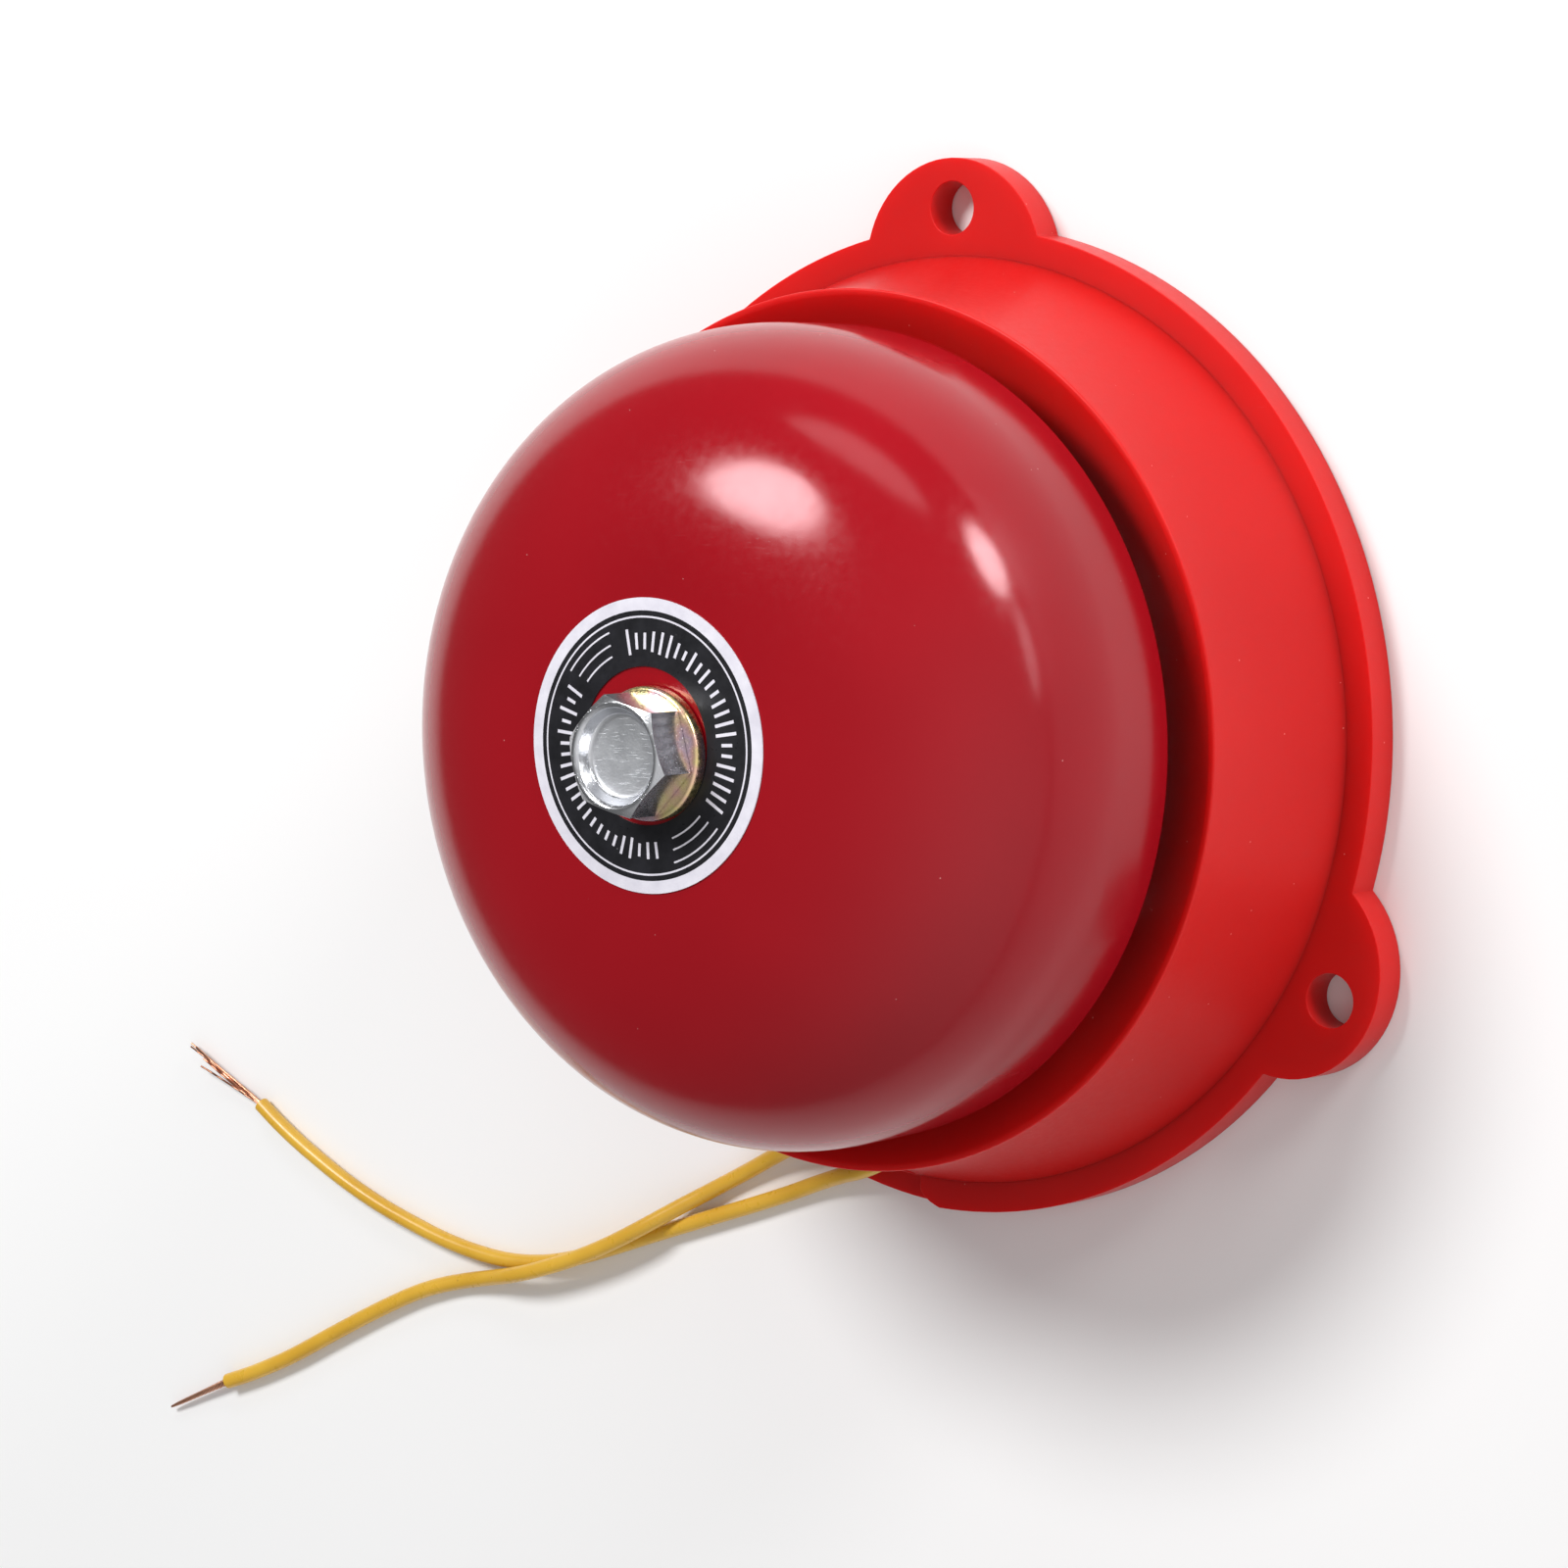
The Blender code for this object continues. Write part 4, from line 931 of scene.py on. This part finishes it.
def make_bolt_zinc():
    """Zinc that is rougher inside the head's dish than on the edges round it."""
    material, tree, shader = new_finish("bolt_zinc", metallic=1.0)
    where = place_on_piece(tree)
    parts = put(tree, "ShaderNodeSeparateXYZ", {0: where})
    off_x = maths(tree, "SUBTRACT", parts.outputs["X"], STACK_CENTRE.x)
    off_y = maths(tree, "SUBTRACT", parts.outputs["Y"], STACK_CENTRE.y)
    away = maths(tree, "SQRT", maths(tree, "ADD", maths(tree, "POWER", maths(tree, "ABSOLUTE", off_x), 2.0),
                                     maths(tree, "POWER", maths(tree, "ABSOLUTE", off_y), 2.0)))
    in_dish = remap(tree, away, 0.0038, 0.0036)
    milky = cloud(tree, where, 420.0, 3.0, 0.6)
    tree.links.new(colour_steps(tree, milky, [(0.3, (0.60, 0.61, 0.64)), (0.7, (0.74, 0.75, 0.78))]),
                   shader.inputs["Base Color"])
    drag = cloud(tree, place_on_piece(tree, scale=(5000.0, 5000.0, 500.0)), 1.0, 3.0, 0.6)
    stamped = cloud(tree, where, 900.0, 3.0, 0.6)
    nicks = scratches(tree, 0.0016, 0.00007, (0.2, 0.1, 1.0), 0.6)
    relief = maths(tree, "SUBTRACT", maths(tree, "ADD", drag, stamped), maths(tree, "MULTIPLY", nicks, 0.8))
    set_relief(tree, shader, relief, 0.000012)
    rough = remap(tree, maths(tree, "ADD", in_dish, maths(tree, "MULTIPLY", milky, 0.4)), 0.1, 1.3, 0.2, 0.46)
    tree.links.new(rough, shader.inputs["Roughness"])
    return material


bolt_zinc = make_bolt_zinc()


def make_washer():
    outer = (washer_high.x - washer_low.x) / 2
    inner = 0.0033
    bottom = GONG_TOP_Z + LABEL_SHEET + 0.00005
    top = washer_high.z
    profile = rounded([
        (inner, top, 0.0002), (outer, top, 0.00045), (outer, bottom, 0.00015), (inner, bottom, 0.0002),
    ], 5)
    washer = turned("flat_washer", profile, yellow_zinc, 128, place=STACK_PLACE, crease=60.0)
    return keep(washer, "yellow_zinc", "gong_washer")


def make_bolt():
    corner = BOLT_FLATS / math.sqrt(3.0)
    top = bolt_high.z
    under = washer_high.z + 0.00004
    floor = top - 0.0015
    shank = 0.0029
    profile = [
        (0.0, floor, 0.0), (0.00375, floor, 0.0004), (0.00435, top - 0.0001, 0.0003), (0.00475, top, 0.0002),
        (corner + 0.0002, top - 0.00062, 0.0), (corner + 0.0002, under + 0.0001, 0.0),
        (corner - 0.0001, under, 0.0001), (shank, under, 0.0), (shank, bolt_low.z + 0.0005, 0.0),
        (shank - 0.0005, bolt_low.z, 0.0), (0.0, bolt_low.z, 0.0),
    ]
    blank = turned("hex_bolt", rounded(profile, 5), bolt_zinc, 96, closed=False, place=STACK_PLACE)
    hexagon = circle(corner, 6, STACK_CENTRE, BOLT_TURN)
    flats = filled("hexagon", hexagon, [], bolt_low.z - 0.001, top + 0.001, bolt_zinc)
    boolean(blank, flats, "INTERSECT")
    bolt = bevel(blank, 0.00012, 2, 28.0)
    return keep(bolt, "bright_zinc", "gong_bolt")


make_washer()
make_bolt()

# %% [markdown]
# ## The base
#
# The base is one moulding: a drum whose side flares out into a flat flange with three screw lugs.
# It is built as two closed shells that run into each other, the flange and the drum, because each
# can then be rounded in its own way: the flange's edges by a bevel, the drum's by its profile. The
# lead notch is cut only part way into the flange, and the slot behind it goes through the drum.

# %% Base
FLANGE_RADIUS = 0.0465
FLANGE_THICKNESS = 0.0034
DRUM_FRONT_RADIUS = 0.04075
DRUM_FRONT_Z = 0.02005
DRUM_FOOT_RADIUS = 0.0437
DISH_RADIUS = 0.032
DISH_Z = 0.0162
DRUM_WALL = 0.002
OPENING_RADIUS = 0.022
LUG_CIRCLE = 0.0482
LUG_HOLE = 0.0025
LUG_ARC_CENTRE = 0.0427
LUG_ARC_RADIUS = 0.0102
LUG_ANGLES = (90.0, 210.0, 330.0)
NOTCH_ANGLES = (237.0, 263.6)
SLOT_ANGLES = (242.0, 263.0)
COVER_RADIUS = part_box("back_cover")[1].x
COVER_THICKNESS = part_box("back_cover")[1].z


def drum_radius(z):
    """The drum's side flares out towards its foot."""
    share = max(0.0, (DRUM_FRONT_Z - z) / (DRUM_FRONT_Z - FLANGE_THICKNESS))
    return DRUM_FRONT_RADIUS + (DRUM_FOOT_RADIUS - DRUM_FRONT_RADIUS) * share ** 2.2


def flange_outline():
    """The flange's circle, broken by three lugs that are arcs of a smaller circle."""
    squares = LUG_ARC_CENTRE ** 2 + FLANGE_RADIUS ** 2 - LUG_ARC_RADIUS ** 2
    foot = math.acos(squares / (2 * LUG_ARC_CENTRE * FLANGE_RADIUS))
    half_swing = math.asin(FLANGE_RADIUS * math.sin(foot) / LUG_ARC_RADIUS)
    sweep = 120.0 - 2 * math.degrees(foot)
    points = []
    for middle in LUG_ANGLES:
        out = Vector(polar(LUG_ARC_CENTRE, middle))
        for k in range(29):
            swing = half_swing * (k / 14 - 1)
            points.append(tuple(out + Vector(polar(LUG_ARC_RADIUS, middle + math.degrees(swing)))))
        points += [polar(FLANGE_RADIUS, middle + math.degrees(foot) + sweep * k / 60) for k in range(1, 60)]
    return points


def make_notch_tool():
    """A block for cutting the notch: a ring sector whose far corner opens out in a curve."""
    inner = DRUM_FOOT_RADIUS + 0.0001
    first, last = NOTCH_ANGLES
    near = [polar(inner, first + (last - first) * k / 16) for k in range(17)]
    wall_end = polar(inner + 0.0009, last)
    opening = polar(FLANGE_RADIUS + 0.0001, last + 3.4)
    bend = polar(FLANGE_RADIUS - 0.0006, last + 0.1)
    curve = []
    for k in range(7):
        t = k / 6
        a = Vector(wall_end).lerp(Vector(bend), t)
        b = Vector(bend).lerp(Vector(opening), t)
        curve.append(tuple(a.lerp(b, t)))
    far = [polar(0.052, last + 3.6 - (last + 3.6 - first) * k / 12) for k in range(13)]
    return filled("notch", near + curve + far, [], 0.001, 0.006, base_plastic)


def make_flange():
    holes = [circle(COVER_RADIUS + 0.0003, 160)]
    holes += [circle(LUG_HOLE, 40, polar(LUG_CIRCLE, angle)) for angle in LUG_ANGLES]
    flange = filled("flange", flange_outline(), holes, 0.0, FLANGE_THICKNESS, base_plastic)
    boolean(flange, make_notch_tool())
    return bevel(flange, 0.0006, 4, 40.0)


def make_drum():
    outer = [(DRUM_FRONT_RADIUS, DRUM_FRONT_Z, 0.0002)]
    flare_top = 0.0192
    levels = [flare_top - (flare_top - FLANGE_THICKNESS) * k / 22 for k in range(23)]
    outer += [(drum_radius(z), z, 0.0) for z in levels]
    foot_z = 0.0012
    cover_seat = COVER_RADIUS + 0.0009
    foot = [
        (DRUM_FOOT_RADIUS, foot_z, 0.0), (cover_seat, foot_z, 0.0),
        (cover_seat, COVER_THICKNESS + 0.0003, 0.0),
    ]
    inner = [(drum_radius(z) - DRUM_WALL - 0.0006, z, 0.0) for z in (0.0027, 0.006, 0.011, 0.0168)]
    front = [
        (DISH_RADIUS, DISH_Z - DRUM_WALL, 0.0), (OPENING_RADIUS, DISH_Z - DRUM_WALL, 0.0),
        (OPENING_RADIUS, DISH_Z, 0.0003), (DISH_RADIUS, DISH_Z, 0.001),
        (DRUM_FRONT_RADIUS - 0.00055, DRUM_FRONT_Z, 0.0002),
    ]
    drum = turned("drum", rounded(outer + foot + inner + front, 4), base_plastic, 240)
    first, last = SLOT_ANGLES
    slot = [polar(0.036, first + (last - first) * k / 12) for k in range(13)]
    slot += [polar(0.0455, last - (last - first) * k / 12) for k in range(13)]
    return boolean(drum, filled("slot", slot, [], 0.0022, 0.0054, base_plastic))


def make_base():
    flange = make_flange()
    drum = make_drum()
    shape = bmesh.new()
    shape.from_mesh(flange.data)
    shape.from_mesh(drum.data)
    for part in (flange, drum):
        bpy.data.objects.remove(part)
    base = finish_mesh("base_moulding", shape, base_plastic, 30.0)
    normals = base.modifiers.new("even_shading", "WEIGHTED_NORMAL")
    normals.keep_sharp = True
    settle(base)
    return keep(base, "base_red_plastic", "base_housing")


make_base()

# %% [markdown]
# ## Screws
#
# The screws are all one kind, a pan head with a cross recess, so one is modelled and Geometry Nodes
# repeat it. The tree takes the number of screws, the circle that they stand on and their height.
# One function builds it for the three that hold the works and for the three in the back cover.


# %% Screw and its ring of copies
def make_screw_model(name, material, head_radius, head_height, shank_radius, length):
    """A screw pointing down, its head's underside at z = 0."""
    profile = rounded([
        (0.0, head_height, 0.0), (head_radius * 0.55, head_height, head_radius * 0.2),
        (head_radius, head_height * 0.45, head_height * 0.3), (head_radius, 0.0, 0.0001),
        (shank_radius, 0.0, 0.0), (shank_radius, -length + 0.0004, 0.0), (shank_radius * 0.5, -length, 0.0),
        (0.0, -length, 0.0),
    ], 4)
    screw = turned(name, profile, material, 40, closed=False)
    reach = head_radius * 0.58
    width = head_radius * 0.12
    for angle in (0.0, 90.0):
        shape = bmesh.new()
        bmesh.ops.create_cube(shape, size=1.0)
        for vertex in shape.verts:
            narrow = 1.0 if vertex.co.z > 0 else 0.55
            vertex.co = Vector((vertex.co.x * 2 * reach * narrow, vertex.co.y * 2 * width * narrow,
                                head_height * (0.8 + 0.62 * vertex.co.z * 1.3)))
        bmesh.ops.rotate(shape, verts=shape.verts, matrix=Matrix.Rotation(math.radians(angle), 3, "Z"))
        boolean(screw, finish_mesh("driver", shape, material))
    settle(screw, 35.0)
    return screw


SCREW_SIZES = {
    "Screws": 3, "Circle radius": 0.028, "First angle": 0.5, "Height": 0.018, "Tilt": 0.0, "Turn": 0.4,
}


def build_screw_tree(screw, material):
    tree, size = new_geometry_tree("ring_of_screws", SCREW_SIZES)
    number = put(tree, "GeometryNodeInputIndex").outputs[0]
    step = maths(tree, "DIVIDE", math.tau, size["Screws"])
    angle = maths(tree, "ADD", size["First angle"], maths(tree, "MULTIPLY", number, step))
    place = place_round_axis(tree, size["Circle radius"], angle, size["Height"])
    points = row_of_points(tree, size["Screws"], place)
    own_turn = maths(tree, "MULTIPLY", angle, size["Turn"])
    turn = put(tree, "ShaderNodeCombineXYZ", {0: size["Tilt"], 2: own_turn}).outputs[0]
    model = put(tree, "GeometryNodeObjectInfo", {"Object": screw}).outputs["Geometry"]
    copies = {"Points": points, "Instance": model, "Rotation": turn}
    ring = put(tree, "GeometryNodeInstanceOnPoints", copies).outputs[0]
    close_tree(tree, ring, material)
    return tree


def ring_of_screws(name, slot, nodes, model_sizes, values, material):
    screw = make_screw_model("one_screw", material, **model_sizes)
    ring = run_tree(name, build_screw_tree(screw, material), values)
    bpy.data.objects.remove(screw)
    ring.data.set_sharp_from_angle(angle=math.radians(35.0))
    return keep(ring, slot, *nodes)


PLATE_SCREW = {"head_radius": 0.0024, "head_height": 0.0014, "shank_radius": 0.0012, "length": 0.0086}
COVER_SCREW = {"head_radius": 0.0027, "head_height": 0.0008, "shank_radius": 0.0011, "length": 0.010}


def make_screw_rings():
    plate_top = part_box("mounting_plate")[1].z
    plate_ring = {
        "Screws": 3, "Circle radius": 0.028, "First angle": math.radians(90.0),
        "Height": plate_top + 0.00003, "Tilt": 0.0, "Turn": 0.4,
    }
    cover_ring = {
        "Screws": 3, "Circle radius": 0.0365, "First angle": math.radians(30.0),
        "Height": 0.00127, "Tilt": math.pi, "Turn": 0.7,
    }
    ring_of_screws("plate_screws", "bright_zinc", [f"plate_screw_{k}" for k in (1, 2, 3)],
                   PLATE_SCREW, plate_ring, bright_zinc)
    ring_of_screws("cover_screws", "plain_steel", [f"cover_screw_{k}" for k in (1, 2, 3)],
                   COVER_SCREW, cover_ring, plain_steel)


make_screw_rings()

# %% [markdown]
# ## The return spring
#
# The spring pushes the striker back, and in the bell it shortens as the striker moves; here it is one fixed
# coil.

# %% Return spring
spring_low, spring_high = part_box("return_spring")


def make_spring():
    turns = 5.5
    steps_a_turn = 24
    centre_y = (spring_low.y + spring_high.y) / 2
    centre_z = (spring_low.z + spring_high.z) / 2
    wire = 0.0003
    radius = (spring_high.y - spring_low.y) / 2 - wire
    points = []
    count = round(turns * steps_a_turn)
    for k in range(count + 1):
        share = k / count
        closed = min(1.0, max(0.0, (share * turns - 0.5) / (turns - 1.0)))
        x = spring_high.x - wire - (spring_high.x - spring_low.x - 2 * wire) * closed
        angle = math.tau * turns * share
        points.append(Vector((x, centre_y + radius * math.cos(angle), centre_z + radius * math.sin(angle))))
    tube = tube_along("spring_wire", points, wire, plain_steel, 2)
    shape = bmesh.new()
    shape.from_mesh(evaluated_mesh(tube))
    bpy.data.objects.remove(tube)
    tidy(shape)
    spring = finish_mesh("spring_coil", shape, plain_steel, 60.0)
    keep(spring, "plain_steel", "return_spring")
    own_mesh(spring)
    return spring


make_spring()

# %% [markdown]
# ## Finishes of the works
#
# The working parts inside keep their own shapes. They only need their finishes, which are put in
# the place of the plain ones: each part's name says which finish it gets.

# %% Finish every part that is carried over
CARRIED = {
    "plain_steel": (plain_steel, ["centre_post", "mounting_plate", "coil_frame", "plunger", "striker_rod",
                                  "clamp_screw_1", "clamp_screw_2"]),
    "bright_zinc": (bright_zinc, ["post_lock_washer", "post_nut", "plunger_clip", "spring_seat",
                                  "frame_screw_1", "frame_screw_2"]),
    "brass_tube": (drawn_brass, ["guide_tube", "striker_tip"]),
    "copper_wire": (copper_strand, ["coil_winding"]),
    "black_plastic": (black_plastic, ["back_cover", "rectifier_diode", "splice_sleeve_1", "splice_sleeve_2"]),
    "white_nylon": (white_nylon, ["coil_bobbin", "cable_clamp"]),
    "black_rubber": (black_rubber, ["seat_washer", "buffer_ring"]),
    "red_insulation": (red_insulation, ["coil_lead_1", "coil_lead_2"]),
    "yellow_tape": (winding_tape, ["coil_wrap"]),
}


def finish_carried_parts():
    done = 0
    for material, nodes in CARRIED.values():
        for name in nodes:
            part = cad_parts[name]
            part.data.materials.clear()
            part.data.materials.append(material)
            done += 1
    return done


print(finish_carried_parts(), "carried-over parts have their finishes")

# %% [markdown]
# ## Floor and light
#
# The table is a plain pale sheet. The surround is white and grows smoothly brighter towards one
# side, so the paint reflects no hard edge from it. Four soft round lamps do the rest: a soft box
# for the broad highlight on the crown, a low strip and a weak tail for the narrow one on the
# skirt's shoulder, and a pale card for a quiet glow between them.


# %% Floor and light
def make_floor():
    material, tree, shader = new_finish("pale_table", roughness=0.6)
    tone = cloud(tree, place_on_piece(tree), 6.0, 2.0)
    tree.links.new(colour_steps(tree, tone, [(0.3, (0.88, 0.88, 0.88)), (0.7, (0.90, 0.90, 0.90))]),
                   shader.inputs["Base Color"])
    shape = bmesh.new()
    bmesh.ops.create_grid(shape, x_segments=1, y_segments=1, size=4.0)
    bmesh.ops.translate(shape, verts=shape.verts, vec=(0, 0, -0.0001))
    floor = finish_mesh("floor", shape, material)
    return floor


def make_light(name, direction, distance, width, height, power):
    """A white lamp that far along a direction from the gong's middle, facing it."""
    lamp = bpy.data.lights.new(name, "AREA")
    lamp.shape = "ELLIPSE"
    lamp.size = width
    lamp.size_y = height
    lamp.energy = power
    light = add_object(name, lamp)
    towards = Vector(direction).normalized()
    target = Vector((0.0, 0.0, 0.04))
    light.location = target + towards * distance
    light.rotation_mode = "QUATERNION"
    light.rotation_quaternion = towards.to_track_quat("Z", "Y")
    return light


def make_world(low, high, bright_side):
    """A white surround that grows smoothly brighter towards one side, as a room with a big window does."""
    world = bpy.data.worlds.new("studio")
    world.use_nodes = True
    tree = world.node_tree
    outward = put(tree, "ShaderNodeTexCoord").outputs["Generated"]
    aim = tuple(Vector(bright_side).normalized())
    facing = put(tree, "ShaderNodeVectorMath", {0: outward, 1: aim}, operation="DOT_PRODUCT").outputs["Value"]
    share = remap(tree, facing, -0.3, 1.0)
    strength = remap(tree, maths(tree, "POWER", share, 2.0), 0.0, 1.0, low, high)
    background = tree.nodes["Background"]
    background.inputs["Color"].default_value = (1.0, 1.0, 1.0, 1.0)
    tree.links.new(strength, background.inputs["Strength"])
    bpy.context.scene.world = world


make_floor()
make_world(0.14, 1.0, (0.80, -0.42, 0.42))
make_light("soft_box", (-0.31, 0.54, 0.78), distance=0.9, width=0.42, height=0.28, power=6.8)
make_light("low_strip", (0.72, 0.68, 0.15), distance=0.8, width=0.25, height=0.20, power=3.0)
make_light("tail_strip", (0.93, 0.36, 0.08), distance=0.9, width=0.34, height=0.10, power=0.4)
make_light("pale_card", (0.10, 0.88, 0.40), distance=1.0, width=0.70, height=0.24, power=1.1)
bpy.context.scene.view_settings.view_transform = "Standard"
